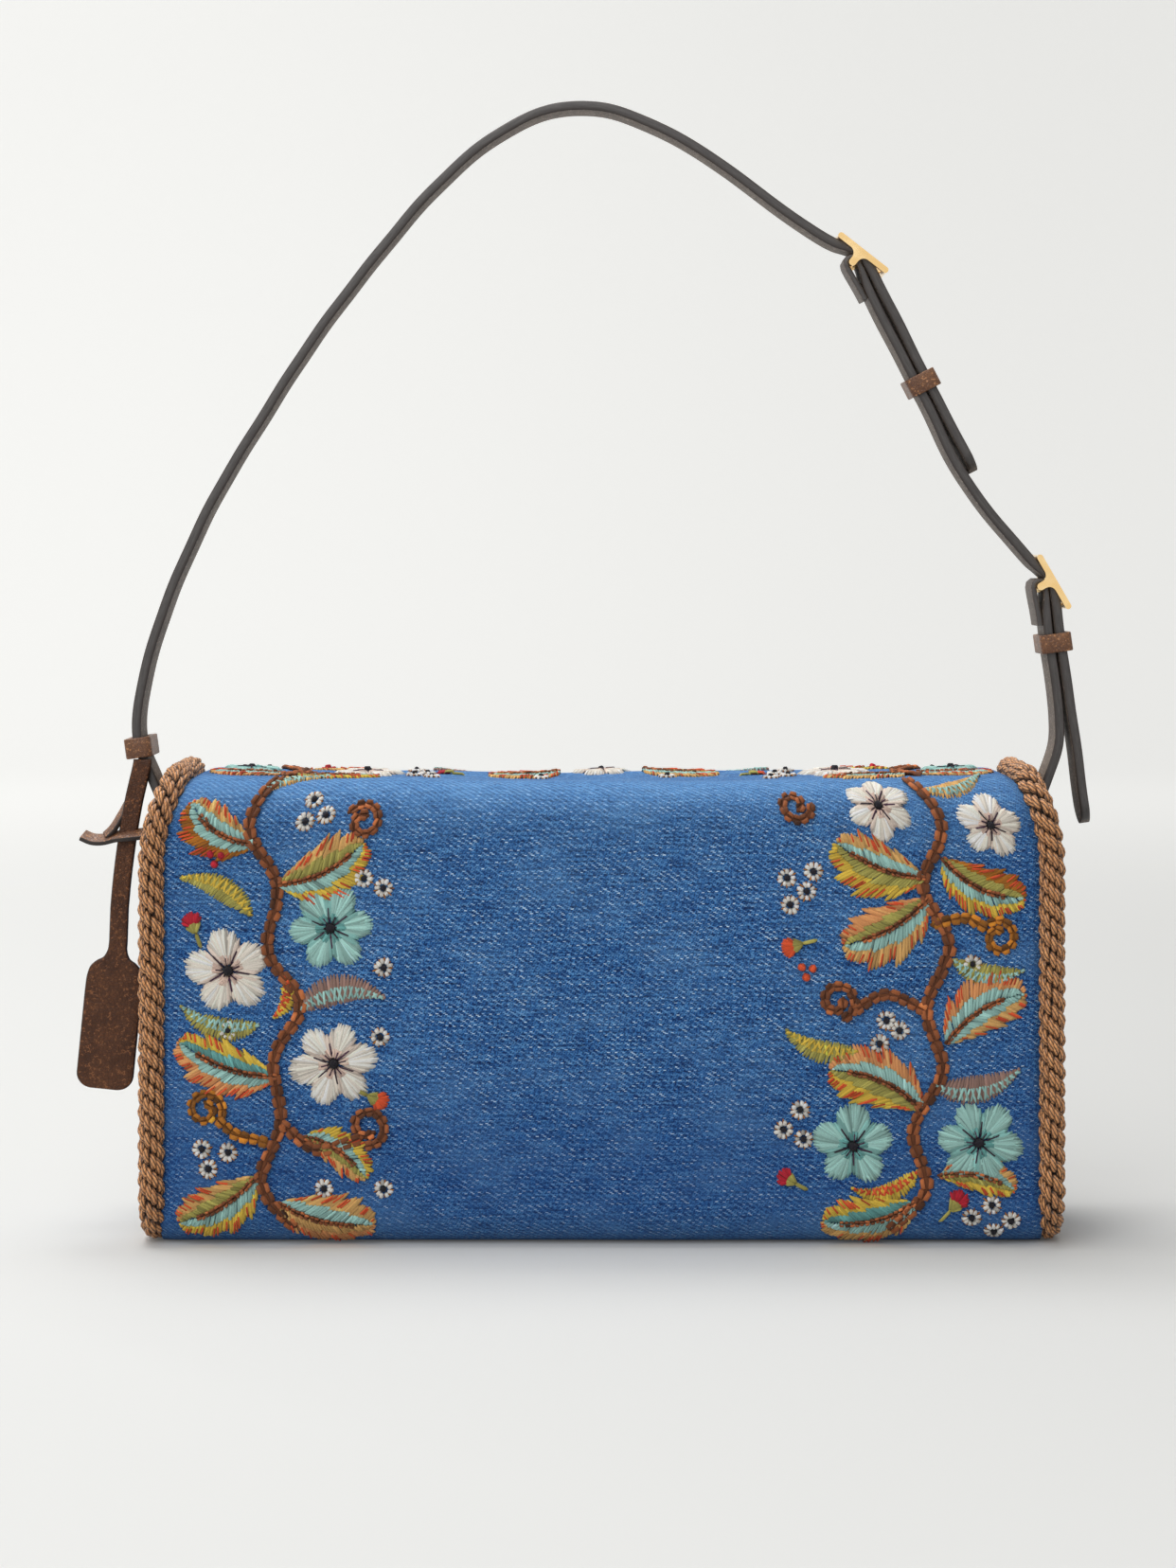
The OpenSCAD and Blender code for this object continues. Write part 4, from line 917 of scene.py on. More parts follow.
# %% [markdown]
# ## The rope
# The trim is a laid rope. Three plies are twisted into a strand, and three strands are laid
# the other way round each other. So each strand shows as a slanting row of short, steep
# lozenges. The rope is sewn along the cloth's edges all the way round, as one length. Its
# mesh is cut into three pieces at the flap's corners, to keep each one small.
# %% Make the rope's route


def arc_rows(y, z, r, start, end, steps):
    """Points on an arc in the plane of y and z, and the angles that face out of it."""
    a = np.radians(np.linspace(start, end, steps))
    return np.stack([y + r * np.cos(a), z + r * np.sin(a), a], -1)


BACK_Y, FLAP_Y, FOLD_R, TOP_Z = -28.9, 35.0, 12.9, 140.9
down_a, back_a, up_a = 1.5 * math.pi, math.pi, math.pi / 2
side_line = np.vstack([
    np.linspace((17, ROPE_OUT, down_a), (-15, ROPE_OUT, down_a), 14),
    arc_rows(-15.9, 17.36, LOW_R, 270, 180, 12),
    np.linspace((BACK_Y, 20, back_a), (BACK_Y, 127, back_a), 40),
    arc_rows(-16, 128, FOLD_R, 180, 90, 14),
    np.linspace((-14, TOP_Z, up_a), (20, TOP_Z, up_a), 14),
    arc_rows(22.1, 128, FOLD_R, 90, 0, 14),
    np.linspace((FLAP_Y, 126, 0), (FLAP_Y, 51, 0), 30)])
ry, rz, ra = side_line.T
rx = half_width(rz - 1.1 * np.maximum(0, np.sin(ra))) + ROPE_OUT
# Round the flap's corner and along its lower edge, as far as the middle of the bag
corner = np.radians(np.linspace(0, 90, 16))
corner_x, corner_z, corner_r = HALF_W - FLAP_R, FLAP_LOW + FLAP_R, FLAP_R + ROPE_OUT
corner_pts = np.stack([corner_x + corner_r * np.cos(corner), np.full(16, FLAP_Y),
                       corner_z - corner_r * np.sin(corner)], -1)
low_pts = np.linspace((107, FLAP_Y, corner_z - corner_r), (0, FLAP_Y, corner_z - corner_r), 40)
half_pts = np.vstack([np.stack([rx, ry, rz], -1), corner_pts, low_pts])
half_face = np.vstack([np.stack([0 * ra, np.cos(ra), np.sin(ra)], -1), np.tile([0, 1.0, 0], (56, 1))])
# The left half is the right one in a mirror
route, facing = (np.vstack([half, (half * [-1, 1, 1])[-2::-1]]) for half in (half_pts, half_face))
# The sewn rope follows the cloth, so it rises and swells with it a little
lift = np.interp(route[:, 2], [100, 138, 141], [0, 0.2, 0.7])
route = route + facing * (lift + 0.075 * np.sin(np.arange(len(route)) * 0.5))[:, None]
length = run_length(route)
print("the rope is", round(length[-1]), "mm long")

# %% Lay the strands round it
# Millimetres for one turn, to the right or to the left, and how far out each lies
STRAND_TURN, PLY_TURN = -15.4, 4.3
STRAND_AT, PLY_AT, PLY_R = 2.24, 0.98, 1.02
rings = int(length[-1] / 0.44)
l = np.linspace(0, length[-1], rings)
core = points_at(l, length, route)
core[1:-1] = (core[:-2] + 2 * core[1:-1] + core[2:]) / 4
ahead = unit(np.gradient(core, axis=0))
face_dir = square_to(points_at(l, length, facing), ahead)


def helix(centre, ahead, first_dir, radius, turn, phase):
    """A helix round a centre line, which direction faces out of it, and which way it runs."""
    a = (2 * math.pi * l / turn + phase)[:, None]
    outward = np.cos(a) * first_dir + np.sin(a) * np.cross(ahead, first_dir)
    line = centre + radius * outward
    line_ahead = unit(np.gradient(line, axis=0))
    return line, square_to(outward, line_ahead), line_ahead


ring_a = np.linspace(0, 2 * math.pi, 9)
plies, ply_uv, ply_groove_shade = [], [], []
for k in range(3):
    strand, strand_out, strand_ahead = helix(core, ahead, face_dir, STRAND_AT, STRAND_TURN,
                                             k * 2 * math.pi / 3)
    for m in range(3):
        # Plies aren't laid perfectly evenly, so each one wanders a little
        drift = 0.22 * np.sin(l / 7.3 + 2 * k + m) + 0.16 * np.sin(l / 2.9 + 3 * m)
        ply, ply_out, ply_ahead = helix(strand, strand_ahead, strand_out, PLY_AT, PLY_TURN,
                                        m * 2 * math.pi / 3 + k + drift)
        skin = carry(ply, ply_out, np.cross(ply_ahead, ply_out), PLY_R * polar(ring_a[:-1], 1.0))
        plies.append(skin)
        ply_uv.append(np.stack(np.broadcast_arrays(l[:, None] + 37.3 * (3 * k + m),
                                                   ring_a[None] * PLY_R), -1))
        # Red says how far out a point is: the grooves between strands and plies get painted shade
        from_core, from_strand = (np.linalg.norm(skin - c[:, None], axis=-1) for c in (core, strand))
        out_of_shade = np.clip((from_core - 2.8) / 1.0, 0, 1)
        out_of_shade = out_of_shade * (0.3 + 0.7 * np.clip((from_strand - 1.15) / 0.6, 0, 1))
        ply_groove_shade.append(out_of_shade[..., None] * [1, 0, 0])
print("the rope has", len(plies), "plies of", rings, "rings")

# %% The rope's cotton, and its three pieces
cord = Graph("rope_cotton", roughness=0.45, specular=0.5)
cord_place = cord.weave_place()
cord_u, cord_v = cord.parts(cord_place)
# Each ply has five yarns round it
yarns = cord.wave(cord.plus(cord.times(cord_u, 2.1), cord_v), 2 * math.pi * PLY_R / 5)
fibre = cord.uneven(cord_place, 3.0, 3.0, 3.0, 0.7)
patch = cord.uneven(cord_place, 0.12, 0.3)
brown = cord.mix(cord.ramp(fibre, 0.3, 0.7), rgb(166, 98, 54), rgb(255, 190, 124))
# Painted shade: dark lines between the yarns of each ply
brown = cord.mix(cord.ramp(yarns, -1.0, 0.4, 0.9, 0.0), brown, rgb(44, 22, 11))
brown = cord.mix(cord.ramp(patch, 0.4, 0.7, 0.0, 0.3), brown, rgb(150, 98, 60))
# Painted shade in the grooves, from the red of the tint
cord.put("Base Color", cord.mix(cord.ramp(cord.tint()[0], 0.0, 0.9), rgb(34, 18, 10), brown))
cord.bump(cord.plus(yarns, cord.times(fibre, 0.8)), 0.1, 0.7)
cord.put("Sheen Weight", 0.1)

cut = int(np.searchsorted(l, length[len(half_pts) - 42]))
for name, node, start, end in (("rope_trim_right", "rope_right", 0, cut),
                               ("rope_trim_flap", "rope_flap", cut, rings - 1 - cut),
                               ("rope_trim_left", "rope_left", rings - 1 - cut, rings - 1)):
    n = end - start + 1
    first = np.arange(9) * n * 9
    points, uv, tint = (np.concatenate([a[start:end + 1].reshape(-1, a.shape[-1]) for a in arrays])
                        for arrays in (plies, ply_uv, ply_groove_shade))
    caps = [f + k for f in first for k in (np.arange(8)[::-1], (n - 1) * 9 + np.arange(8))]
    rope = make_piece(name, points, np.concatenate([grid_quads(n, 9, f) for f in first]),
                      caps=caps, uv=uv, colour=tint, closed=True)
    apply_material(rope, cord)
    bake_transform(rope)
    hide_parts(node)

# %% [markdown]
# ## Strap leather, tag leather and brass
# The strap is cut from taupe leather. Its cut edges are sealed with dark edge paint, and
# the face that lies on the shoulder is grained. The tag is darker pebbled leather; its loop,
# its free end and the keepers have a lighter copy of it, which is painted light.
# Creases in the pebbled leathers get painted shade and glints. The hardware is brass with a
# thin gold coat, polished but with faint wear.
# %% Leather and metal materials


def make_leather(name, dark, light, pebble, depth, roughness, specular=0.45):
    """Leather with pebbles about pebble millimetres across; its fine creases get painted shade and glints."""
    g = Graph(name, roughness=roughness, specular=specular)
    place = g.object_place()
    cell = g.node("ShaderNodeTexVoronoi", {"Vector": place, "Scale": 1 / pebble},
                  feature="DISTANCE_TO_EDGE")
    crease_shade = g.ramp(cell, 0.0, 0.16, 1.0, 0.0)
    tone = g.noise(place, 0.12, 3.0, 0.6)
    fine, patchy = (g.noise(place, scale, 2.0, 0.6) for scale in (2.2, 0.9))
    # Painted glints on parts of the creases; the rest of them get painted shade
    painted_glint = g.times(g.ramp(cell, 0.0, 0.22, 1.0, 0.0), g.ramp(patchy, 0.53, 0.66))
    shade = g.mix(g.ramp(tone, 0.3, 0.7, 0.12, 0.34), dark, light)
    # Painted shade in the creases
    shade = g.mix(g.times(crease_shade, 0.6), shade, dark)
    g.put("Base Color", g.mix(painted_glint, shade, light))
    g.put("Roughness", g.ramp(fine, 0.2, 0.8, roughness - 0.08, roughness + 0.1))
    g.bump(g.math("SUBTRACT", g.times(fine, 0.3), crease_shade), depth, 0.6)
    return g


inner_face = make_leather("strap_inner_face", rgb(78, 66, 58), rgb(172, 158, 144), 0.8, 0.08, 0.6)
outer_face = make_leather("strap_outer_face", rgb(66, 54, 47), rgb(132, 114, 100), 0.9, 0.06, 0.5)
tag_leather = make_leather("tag_leather", rgb(50, 25, 12), rgb(138, 88, 54), 1.0, 0.14, 0.46, 0.25)
# A lighter copy of the tag's leather, painted light for the keepers and the tag's loop and end
lit_brown_leather = make_leather("lit_brown_leather", rgb(72, 38, 19), rgb(186, 130, 84), 0.95, 0.14, 0.38)
cut_edge = make_leather("cut_edge", rgb(34, 25, 21), rgb(52, 40, 34), 0.6, 0.03, 0.45)

painted = Graph("strap_edge_paint", roughness=0.38, specular=0.5)
painted_place = painted.weave_place()
wavy = painted.times(painted.uneven(painted_place, 0.35, 0.8, 3.0, 0.6), 0.5)
edge_across = painted.plus(painted.parts(painted_place)[1], wavy)
edge_tone = painted.uneven(painted_place, 0.2, 1.5, 4.0, 0.65)
edge_shade = painted.mix(painted.ramp(edge_tone, 0.3, 0.7), rgb(54, 50, 49), rgb(74, 70, 68))
edge_shade = painted.mix(painted.ramp(edge_across, -0.9, 0.1), rgb(44, 36, 32), edge_shade)
edge_shade = painted.mix(painted.ramp(edge_across, 1.2, 1.5), edge_shade, rgb(50, 40, 36))
painted.put("Base Color", edge_shade)
painted.bump(edge_tone, 0.12, 0.5)

gold = Graph("gold_plate", roughness=0.22, metallic=1.0)
gold_wear = gold.noise(gold.object_place(), 0.15)
gold.put("Base Color", gold.mix(gold.ramp(gold_wear, 0.35, 0.7), rgb(252, 212, 146), rgb(255, 226, 172)))
gold.put("Roughness", gold.ramp(gold_wear, 0.3, 0.7, 0.12, 0.24))

board_card = Graph("board_card", roughness=0.85)
board_card.put("Base Color", rgb(150, 124, 90))
iron = Graph("magnet_iron", roughness=0.5, metallic=0.8)
iron.put("Base Color", rgb(70, 70, 72))
for name in ("buckle_upper", "buckle_lower", "prong_upper", "prong_lower", "rivet_left", "rivet_right",
             "rivet_washer_left", "rivet_washer_right", "snap_socket", "snap_stud"):
    apply_material(nodes[name], gold)
apply_material(nodes["snap_magnet"], iron)
apply_material(nodes["base_board"], board_card)
print("leather and metal ready")

# %% [markdown]
# ## The strap
# The strap stands on edge, so from behind only its cut edge shows. It is three lengths of
# leather: each lower end passes through a buckle, and each upper end folds round the bar of
# the buckle above it. The route below gives points as x, z and the leather's thickness.
# %% Work out the strap's three routes
SPREAD, RISE, RIVET_Z, STRAP_W, STRAP_T, TAIL = 143.5, 231.0, 118.0, 15.0, 2.9, 75.0
BAR_R, SEAM, FOOT = 1.0, 0.1, 132.35
FOLD_T, LOOP_T, HUMP_T = 0.48 * STRAP_T, 0.58 * STRAP_T, 0.9 * STRAP_T
RUN_M = 0.24 * STRAP_T
TAIL_M = RUN_M + STRAP_T + 0.7
HUMP_N = BAR_R + SEAM + FOLD_T + SEAM + HUMP_T / 2
END_N = HUMP_N + HUMP_T / 2 - 1.9 - SEAM - STRAP_T / 2
END_U = 8.8 - 0.95
UPPER = (0.541 * SPREAD, RIVET_Z + 0.789 * RISE, 38.0, 62.8)
LOWER = (0.946 * SPREAD, RIVET_Z + 0.355 * RISE, 60.0, 82.0)


def strap_points(shares):
    """Points of the strap from shares of its spread and its rise."""
    q = np.asarray(shares, float)
    return np.c_[q[:, 0] * SPREAD, RIVET_Z + q[:, 1] * RISE, np.full(len(q), STRAP_T)]


def turned(bar, slope, a, b, t):
    """Points a along and b out from a buckle's bar, in a frame that leans by slope degrees."""
    a, b, t = np.broadcast_arrays(*(np.asarray(v, float) for v in (a, b, t)))
    c, s = math.cos(math.radians(slope)), math.sin(math.radians(slope))
    return np.stack([bar[0] + a * c + b * s, bar[1] - a * s + b * c, t], -1).reshape(-1, 3)


def smooth(f):
    return f * f * (3 - 2 * f)


def threaded(bar):
    """The end that passes over the bar and lies along the strap beyond it."""
    return np.vstack([
        turned(bar, bar[2], -END_U, END_N, STRAP_T),
        turned(bar, bar[2], -END_U / 2, END_N + (HUMP_N - END_N) * 0.62, (STRAP_T + HUMP_T) / 2),
        turned(bar, bar[2], 0, HUMP_N, HUMP_T),
        turned(bar, bar[3], np.array([0.06, 0.14, 0.3, 0.5, 0.75, 1]) * TAIL, TAIL_M, STRAP_T)])


def folded(bar):
    """The end that is thinned and folded round the bar, up to where it has its full thickness."""
    a = np.arange(180, -1, -12)
    t = LOOP_T + (FOLD_T - LOOP_T) * smooth(np.maximum(0, (180 - a) / 180))
    r = BAR_R + SEAM + t / 2
    f = np.array([0.25, 0.5, 0.75, 1])
    rise = smooth(f)
    turn = np.stack([-r * np.sin(np.radians(a)), r * np.cos(np.radians(a))], -1)
    pressed = np.array([0.4, 0.4, 0.35, 0.2, 0.05])
    return np.vstack([
        turned(bar, bar[3], np.array([1, 0.8, 0.6, 0.4, 0.2]) * 12, pressed - r[0], LOOP_T),
        turned(bar, bar[3], turn[:, 0], turn[:, 1], t),
        turned(bar, bar[3], f * 11.02, r[-1] + (RUN_M - r[-1]) * rise, FOLD_T + (STRAP_T - FOLD_T) * rise)])


def straight(bar, start, end):
    return turned(bar, bar[3], np.linspace(start, end, 3), RUN_M, STRAP_T)


arch = strap_points([(-0.968, 0.095), (-0.998, 0.139), (-1.003, 0.173), (-0.991, 0.225), (-0.937, 0.338),
                     (-0.853, 0.454), (-0.748, 0.567), (-0.629, 0.681), (-0.490, 0.797), (-0.352, 0.895),
                     (-0.231, 0.960), (-0.110, 0.995), (-0.008, 0.998), (0.089, 0.981), (0.210, 0.942),
                     (0.333, 0.887), (0.436, 0.841)])
drop = strap_points([(0.988, 0.177), (0.986, 0.144), (0.968, 0.107), (0.944, 0.065)])
foot = np.array([[FOOT, RIVET_Z + STRAP_W / 2, STRAP_T]])
foot_rows = np.c_[np.full(12, FOOT), RIVET_Z - STRAP_W / 2 + STRAP_W * smooth(np.linspace(0, 1, 13))[:-1],
                  np.full(12, STRAP_T)]
long_route = np.vstack([foot_rows * [-1, 1, 1],
                        spline(np.vstack([foot * [-1, 1, 1], arch, threaded(UPPER)]))])
middle_route = np.vstack([folded(UPPER), spline(np.vstack([straight(UPPER, 15, 75), threaded(LOWER)]))])
short_route = np.vstack([folded(LOWER), spline(np.vstack([straight(LOWER, 15, 28), drop, foot])),
                         foot_rows[::-1]])
print("strap lengths:", [round(float(run_length(r[:, :2])[-1])) for r in
                         (long_route, middle_route, short_route)], "mm")

# %% Make the three strap pieces


def resample(route, pitch, ends):
    """Points spaced evenly by pitch, and closer together near both ends."""
    d = run_length(route[:, :2])
    at = np.linspace(0, d[-1], int(d[-1] / pitch))
    tip = np.linspace(0, 1, 12) ** 2 * ends
    at = np.unique(np.r_[at[(at > ends) & (at < d[-1] - ends)], tip, d[-1] - tip])
    return points_at(at, d, route), at


def make_strap(name, route, round_start):
    """A ribbon of leather on edge. Its ends are rounded by drawing in its width."""
    rows, at = resample(route, 1.3, 6.0)
    ahead = unit(np.gradient(rows[:, :2], axis=0))
    ahead = unit((np.roll(ahead, 1, 0) + 2 * ahead + np.roll(ahead, -1, 0))[1:-1])
    ahead = np.vstack([ahead[:1], ahead, ahead[-1:]])
    path = np.stack([rows[:, 0], 0 * at, rows[:, 1]], -1)
    out = np.stack([-ahead[:, 1], 0 * at, ahead[:, 0]], -1)
    side = np.tile([0, -1.0, 0], (len(at), 1))
    end_r = 0.54 * STRAP_W
    left = np.minimum(at if round_start else 99, at[-1] - at)
    half_w = np.sqrt(np.maximum(end_r ** 2 - np.clip(end_r - left, 0, end_r) ** 2, 0.3))
    half_w = np.minimum(half_w, STRAP_W / 2)
    base = rounded_box(STRAP_W, STRAP_T, 0.5)
    profile = base * np.stack([half_w / (STRAP_W / 2), rows[:, 2] / STRAP_T], -1)[:, None]
    # The leather isn't perfectly flat: its edges wander by a tenth of a millimetre
    wander = 0.1 * np.sin(at / 9.0) + 0.07 * np.sin(at / 3.7 + 1)
    path = path + out * wander[:, None]
    around = np.vstack([base, base[:1]])[:, 1]
    uv = np.stack([at[:, None] + 0 * around, 0 * at[:, None] + around], -1)
    piece = make_tube(name, carry(path, side, out, profile), uv=uv)
    # Faces that look outwards, to the side, and inwards each have a look of their own
    apply_material(piece, outer_face, painted, inner_face)
    normals, centre = of_faces(piece, "normal"), of_faces(piece, "center") / MM
    near = np.argmin(((centre[:, None, ::2] - path[None, ::3, ::2]) ** 2).sum(-1), 1)
    facing_out = (normals * out[::3][near]).sum(-1)
    paint_faces(piece, np.where(np.abs(normals[:, 1]) > 0.55, 1, np.where(facing_out > 0, 0, 2)))
    return piece


for name, route, round_start in (("strap_long", long_route, True), ("strap_middle", middle_route, False),
                                 ("strap_short", short_route, False)):
    strap = make_strap(name + "_leather", route, round_start)
    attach(strap, "strap")
    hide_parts(name)

# %% [markdown]
# ## Keepers and the tag
# A keeper is a short leather loop that holds the strap's end down. The tag is one leather
# strip: its neck is slit, the strip goes round the strap's leg, and its free end comes back
# through the slit, so it needs no stitch.
# %% Make the keepers and the tag's loop


def make_loop(name, centre, lean, inner_w, inner_h, thick, wide):
    """A leather band round a rectangle inner_w (along Y) by inner_h, turned by lean about Y."""
    route = rounded_box(inner_w + thick, inner_h + thick, 0.9, 5)
    route = np.vstack([route, route[:1]])
    d = run_length(route)
    keep = np.r_[True, np.diff(d) > 1e-6]
    q = points_at(np.linspace(0, d[-1], 65)[:-1], d[keep], route[keep])
    ahead = unit(np.roll(q, -1, 0) - np.roll(q, 1, 0))
    c, s = math.cos(math.radians(lean)), math.sin(math.radians(lean))
    flat = np.array([[0, 1.0, 0], [s, 0, c]])  # the plane of the rectangle
    grid = carry(q @ flat + centre, np.tile([c, 0, -s], (64, 1)),
                 np.stack([ahead[:, 1], -ahead[:, 0]], -1) @ flat, rounded_box(wide, thick, 0.35))
    grid = np.concatenate([grid, grid[:1]], 0)
    piece = make_piece(name, grid, grid_quads(*grid.shape[:2]), closed=True,
                       uv=np.zeros((grid[..., 0].size, 2)))
    # The loops get the lighter copy of the brown leather, which is painted light
    apply_material(piece, lit_brown_leather)
    return piece


for name, bar, s, body in (("keeper_upper", UPPER, 43.0, "keeper_up"),
                           ("keeper_lower", LOWER, 18.0, "keeper_low")):
    p = turned(bar, bar[3], s, (TAIL_M + RUN_M) / 2, 0)[0]
    keeper = make_loop("leather_" + name, np.array([p[0], 0, p[1]]), bar[3], STRAP_W + 0.6,
                       TAIL_M - RUN_M + STRAP_T + 0.6, 1.4, 5.8)
    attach(keeper, body)
    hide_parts(name)

LOOP = np.array([-0.998 * SPREAD, 0, RIVET_Z + 0.139 * RISE])
tag_loop = make_loop("leather_tag_loop", LOOP, 90 - 8.0, STRAP_W + 1.2, STRAP_T + 1.8, 1.8, 6.2)
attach(tag_loop, "strap")
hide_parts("tag_loop")

# %% Make the tag
TAG_T, NECK_L, NECK_W = 1.8, 62.0, 5.9
hinge = np.array([LOOP[0] + NECK_W / 4, -9.0, LOOP[2] - 2.5 - TAG_T])


def tag_bend(z):
    """The tag's small bow in depth, in millimetres."""
    down = np.clip((hinge[2] - z) / 100, 0, 1)
    return hinge[1] - 0.9 * np.sin(down * math.pi) - 0.6 * down ** 2


def leather_band(name, path, half_w, thick):
    """A flat leather strip along a path in x and z. At each point of it half_w is half the
    strip's width and thick its thickness. Both faces are flat and the cut edges rounded."""
    ahead = unit(np.gradient(path, axis=0))
    ahead = unit(np.vstack([ahead[:1], ahead[:-1]]) + 2 * ahead + np.vstack([ahead[1:], ahead[-1:]]))
    side = np.stack([-ahead[:, 2], 0 * ahead[:, 0], ahead[:, 0]], -1)
    half_w, share = half_w[:, None], np.linspace(-1, 1, 9)
    edge_in, edge_up = np.array([0.36, 0.1, 0.1, 0.36]), np.array([-0.42, -0.2, 0.2, 0.42])
    flat = (half_w - 0.7) * share
    across = np.hstack([flat, half_w - edge_in, -flat, edge_in - half_w])
    up = np.r_[np.full(9, 0.5), -edge_up, np.full(9, -0.5), edge_up] * thick[:, None]
    return make_tube(name, carry(path, side, np.cross(side, ahead), np.stack([across, up], -1)))


neck = spline(np.array([(0, 0.0142), (0, 0), (-0.048, -0.22), (-0.094, -0.53), (-0.129, -0.93)])
              * NECK_L)[:-4]
down = np.array([-math.sin(math.radians(5.8)), -math.cos(math.radians(5.8))])
# Half widths of the paddle at distances below the neck's end
shoulder = spline(np.array([(-6.5, 2.95), (-4, 3.1), (-1.6, 4.2), (-0.3, 6.2), (1.6, 7.9), (4.5, 8.7),
                            (9, 8.9)]), 6)
corner = np.radians(np.linspace(0, 86, 12))
low_end = np.stack([34.4 + 4.6 * np.sin(corner), 4.3 + 4.6 * np.cos(corner)], -1)
paddle = np.vstack([shoulder, [(15, 8.9), (22, 8.9), (29, 8.9)], low_end])
paddle_line = np.array([-0.129, -1]) * NECK_L + paddle[:, :1] * down
tag_xz = np.vstack([neck[neck[:, 1] > paddle_line[0, 1] + 0.5], paddle_line]) + hinge[[0, 2]]
tag_half = np.r_[np.full(len(tag_xz) - len(paddle), NECK_W / 2), paddle[:, 1]]
tag_path = np.stack([tag_xz[:, 0], tag_bend(tag_xz[:, 1]), tag_xz[:, 1]], -1)
# The top edge is round about the line that the tag swings on, so it clears the loop
above = np.maximum(tag_xz[:, 1] - hinge[2], 0) / (TAG_T / 2)
tag_thick = TAG_T * np.sqrt(np.clip(1 - above ** 2, 0.02, 1))
tag_body = leather_band("leather_tag", tag_path, tag_half, tag_thick)
apply_material(tag_body, tag_leather, cut_edge)
paint_faces(tag_body, np.abs(of_faces(tag_body, "normal")[:, 1]) < 0.6)
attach(tag_body, "tag")
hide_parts("tag")

# %% Make the tag's free end
# The end comes out through the slit and curls out to the left. Both strips are turned about
# their own length, so the camera sees their face and, below it, the dark cut edge
# They get the lighter copy of the brown leather, which is painted light
for name, route_in, width, lean in (
        ("leather_tag_end", [(0.035, -2.0, -0.352), (-0.06, -2.2, -0.362), (-0.13, -1.4, -0.37),
                             (-0.2, -0.6, -0.386), (-0.25, 0.0, -0.385), (-0.3, 0.4, -0.366)], 5.0, 28),
        ("leather_tag_under", [(-0.03, 2.6, -0.12), (-0.07, 2.2, -0.195), (-0.11, 1.2, -0.27),
                               (-0.15, 0.2, -0.335), (-0.185, 0.0, -0.37)], 4.6, 24)):
    path = hinge + spline(np.array(route_in) * [NECK_L, 1, NECK_L])
    ahead = unit(np.gradient(path, axis=0))
    over = np.stack([-ahead[:, 2], 0 * ahead[:, 0], ahead[:, 0]], -1)
    over = over * np.sign(over[:, 2:3] + 1e-9)
    c, s = math.cos(math.radians(lean)), math.sin(math.radians(lean))
    side = square_to(np.array([0, -c, 0]) - s * over, ahead)
    strip = make_tube(name, carry(path, side, np.cross(side, ahead), rounded_box(width, 1.5, 0.35)))
    apply_material(strip, lit_brown_leather, cut_edge)
    paint_faces(strip, np.abs(of_faces(strip, "normal") @ side.mean(0)) > 0.62)
    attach(strip, "tag")

# %% [markdown]
# ## Light, floor and camera
# A product picture like this is taken on a pale sweep of paper under large soft lights, so
# there are no hard shadows. The paper falls off behind the bag, where less light reaches it.
# There its own colour is raised for the camera and for reflections alone, which puts no more
# light on the bag.
# %% Floor and backdrop
PAPER, BACK_GLOW, LEFT_GLOW = (0.62, 0.62, 0.605, 1), 0.575, 0.12
paper = Graph("paper", roughness=0.9, specular=0.1)
paper.put("Base Color", PAPER)
path_kind = paper.node("ShaderNodeLightPath")
seen = paper.math("MAXIMUM", path_kind, path_kind.node.outputs["Is Glossy Ray"])
paper_place = paper.node("ShaderNodeTexCoord", out=3)
far_off = paper.node("ShaderNodeVectorMath", (paper_place,), out=1, operation="LENGTH")
far_glow = paper.ramp(far_off, 0.15, 2.1, 0.0, BACK_GLOW)
left = paper.ramp(paper.parts(paper_place)[0], -0.9, 0.7, LEFT_GLOW, 0.0)
paper.put("Emission Color", (1.0, 1.0, 0.975, 1))
paper.put("Emission Strength", paper.times(seen, paper.plus(far_glow, left)))
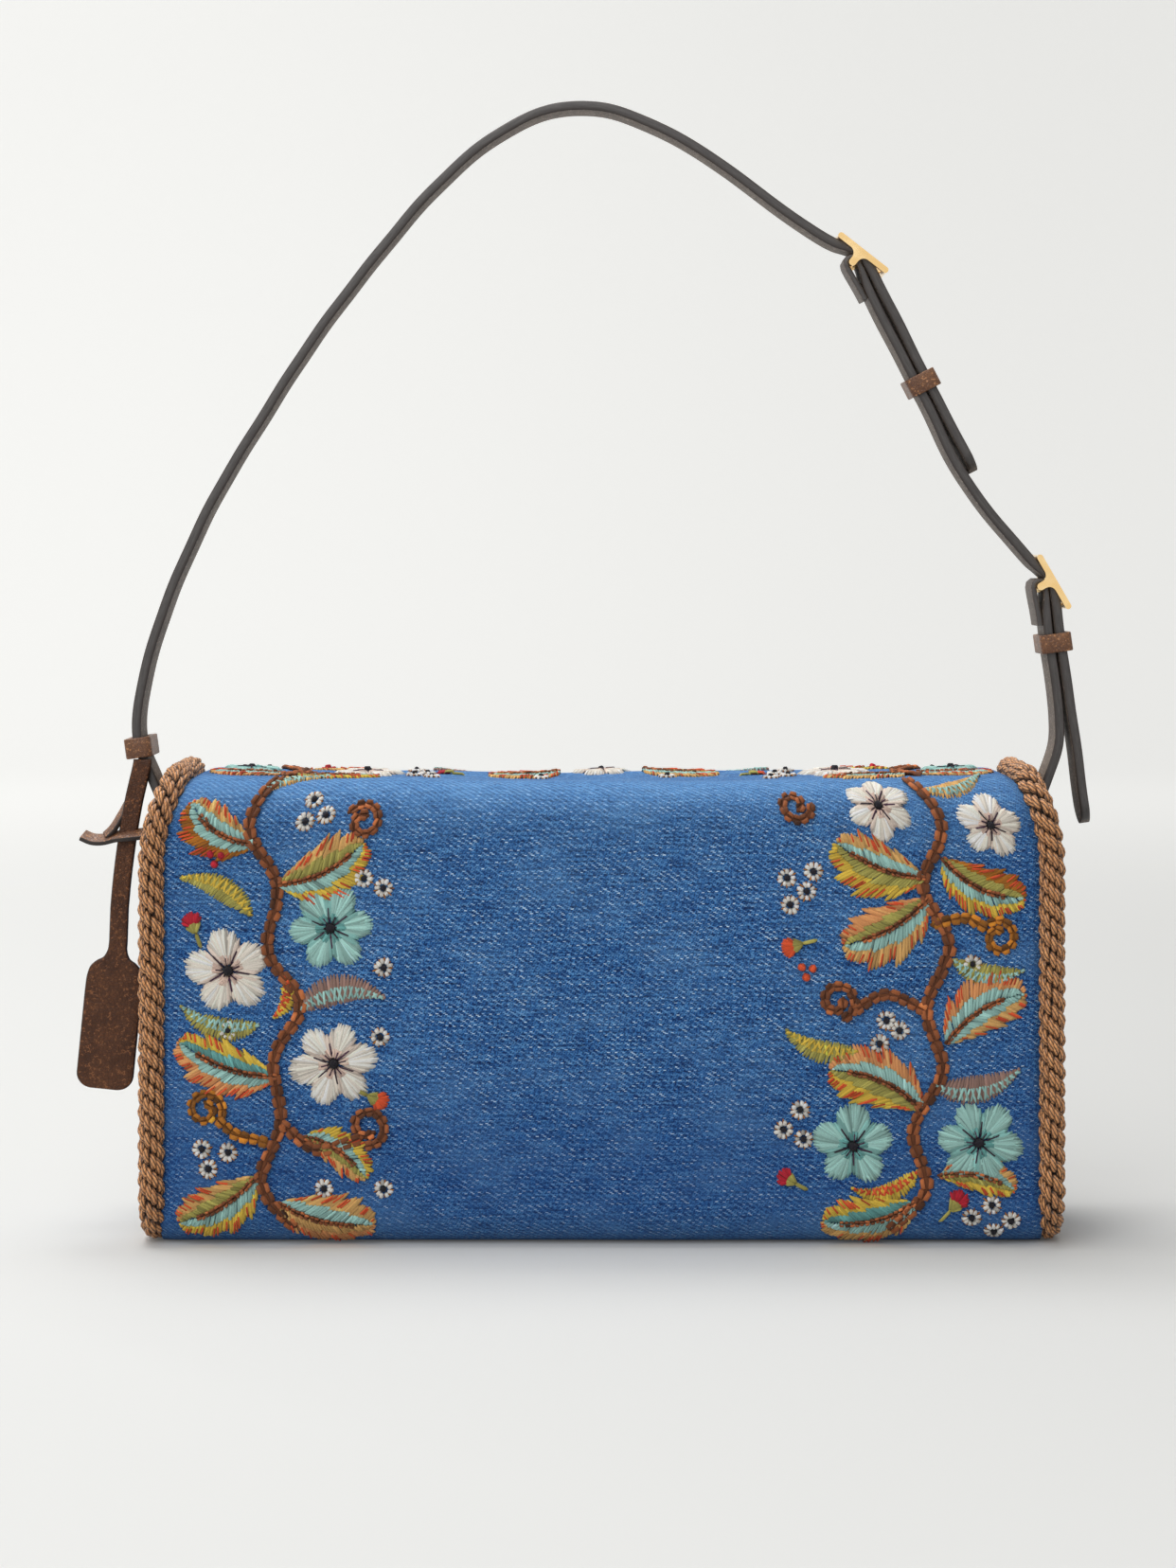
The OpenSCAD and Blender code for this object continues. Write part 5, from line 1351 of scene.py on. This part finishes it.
# The sweep lies flat, bends up behind the bag and goes on as a wall
HALF_WIDE, BEND_Y, BEND_R = 4200.0, 2200, 800
bow = np.linspace(0, math.pi / 2, 14)[1:]
bend = np.stack([BEND_Y + BEND_R * np.sin(bow), BEND_R - BEND_R * np.cos(bow)], -1)
sweep_y, sweep_z = np.vstack([[(-3000, 0), (BEND_Y, 0)], bend, [(3000, 3800)]]).T
sweep_pts = np.stack(np.broadcast_arrays([[-HALF_WIDE], [HALF_WIDE]], sweep_y, sweep_z), -1)
floor = make_piece("paper_sweep", sweep_pts, grid_quads(*sweep_pts.shape[:2]), flip=True)
apply_material(floor, paper)

# %% Lights and camera


def area_light(name, place, aim, size, power):
    """A square soft light at place, turned towards aim."""
    data = bpy.data.lights.new(name, "AREA")
    data.shape, data.size, data.energy = "SQUARE", size, power
    lamp = bpy.data.objects.new(name, data)
    bpy.context.scene.collection.objects.link(lamp)
    lamp.location = place
    lamp.rotation_euler = (Vector(aim) - Vector(place)).to_track_quat("-Z", "Y").to_euler()
    return lamp


area_light("top", (-0.25, 0.22, 1.35), (0, 0, 0.05), 1.0, 18)
area_light("front", (-0.65, -1.7, 1.45), (0, 0, 0.15), 1.9, 29)
world = bpy.data.worlds.new("studio")
bpy.context.scene.world = world
world.use_nodes = True
sky = world.node_tree.nodes["Background"]
sky.inputs[0].default_value = (1, 1, 1, 1)
# The room gives little light, but looks pale to the camera and in the gloss of metal
sky_path = world.node_tree.nodes.new("ShaderNodeLightPath")
sky_seen = world.node_tree.nodes.new("ShaderNodeMath")
sky_seen.operation = "MAXIMUM"
sky_level = world.node_tree.nodes.new("ShaderNodeMapRange")
sky_level.inputs["To Min"].default_value, sky_level.inputs["To Max"].default_value = 0.22, 0.85
for source, target in ((sky_path.outputs["Is Camera Ray"], sky_seen.inputs[0]),
                       (sky_path.outputs["Is Glossy Ray"], sky_seen.inputs[1]),
                       (sky_seen.outputs[0], sky_level.inputs["Value"]),
                       (sky_level.outputs[0], sky.inputs[1])):
    world.node_tree.links.new(source, target)

cam_data = bpy.data.cameras.new("camera")
cam_data.sensor_fit = "VERTICAL"
cam_data.sensor_height = 36
cam_data.lens = 36 * 3490 / 1656
cam_data.shift_y = -238 / 1656
cam = bpy.data.objects.new("camera", cam_data)
bpy.context.scene.collection.objects.link(cam)
cam.location = (-0.00415, -1.030, 0.2086)
cam.rotation_euler = (math.pi / 2, 0, 0)
bpy.context.scene.camera = cam
bpy.context.scene.view_settings.view_transform = "Standard"
print("camera at", tuple(round(v, 4) for v in cam.location))
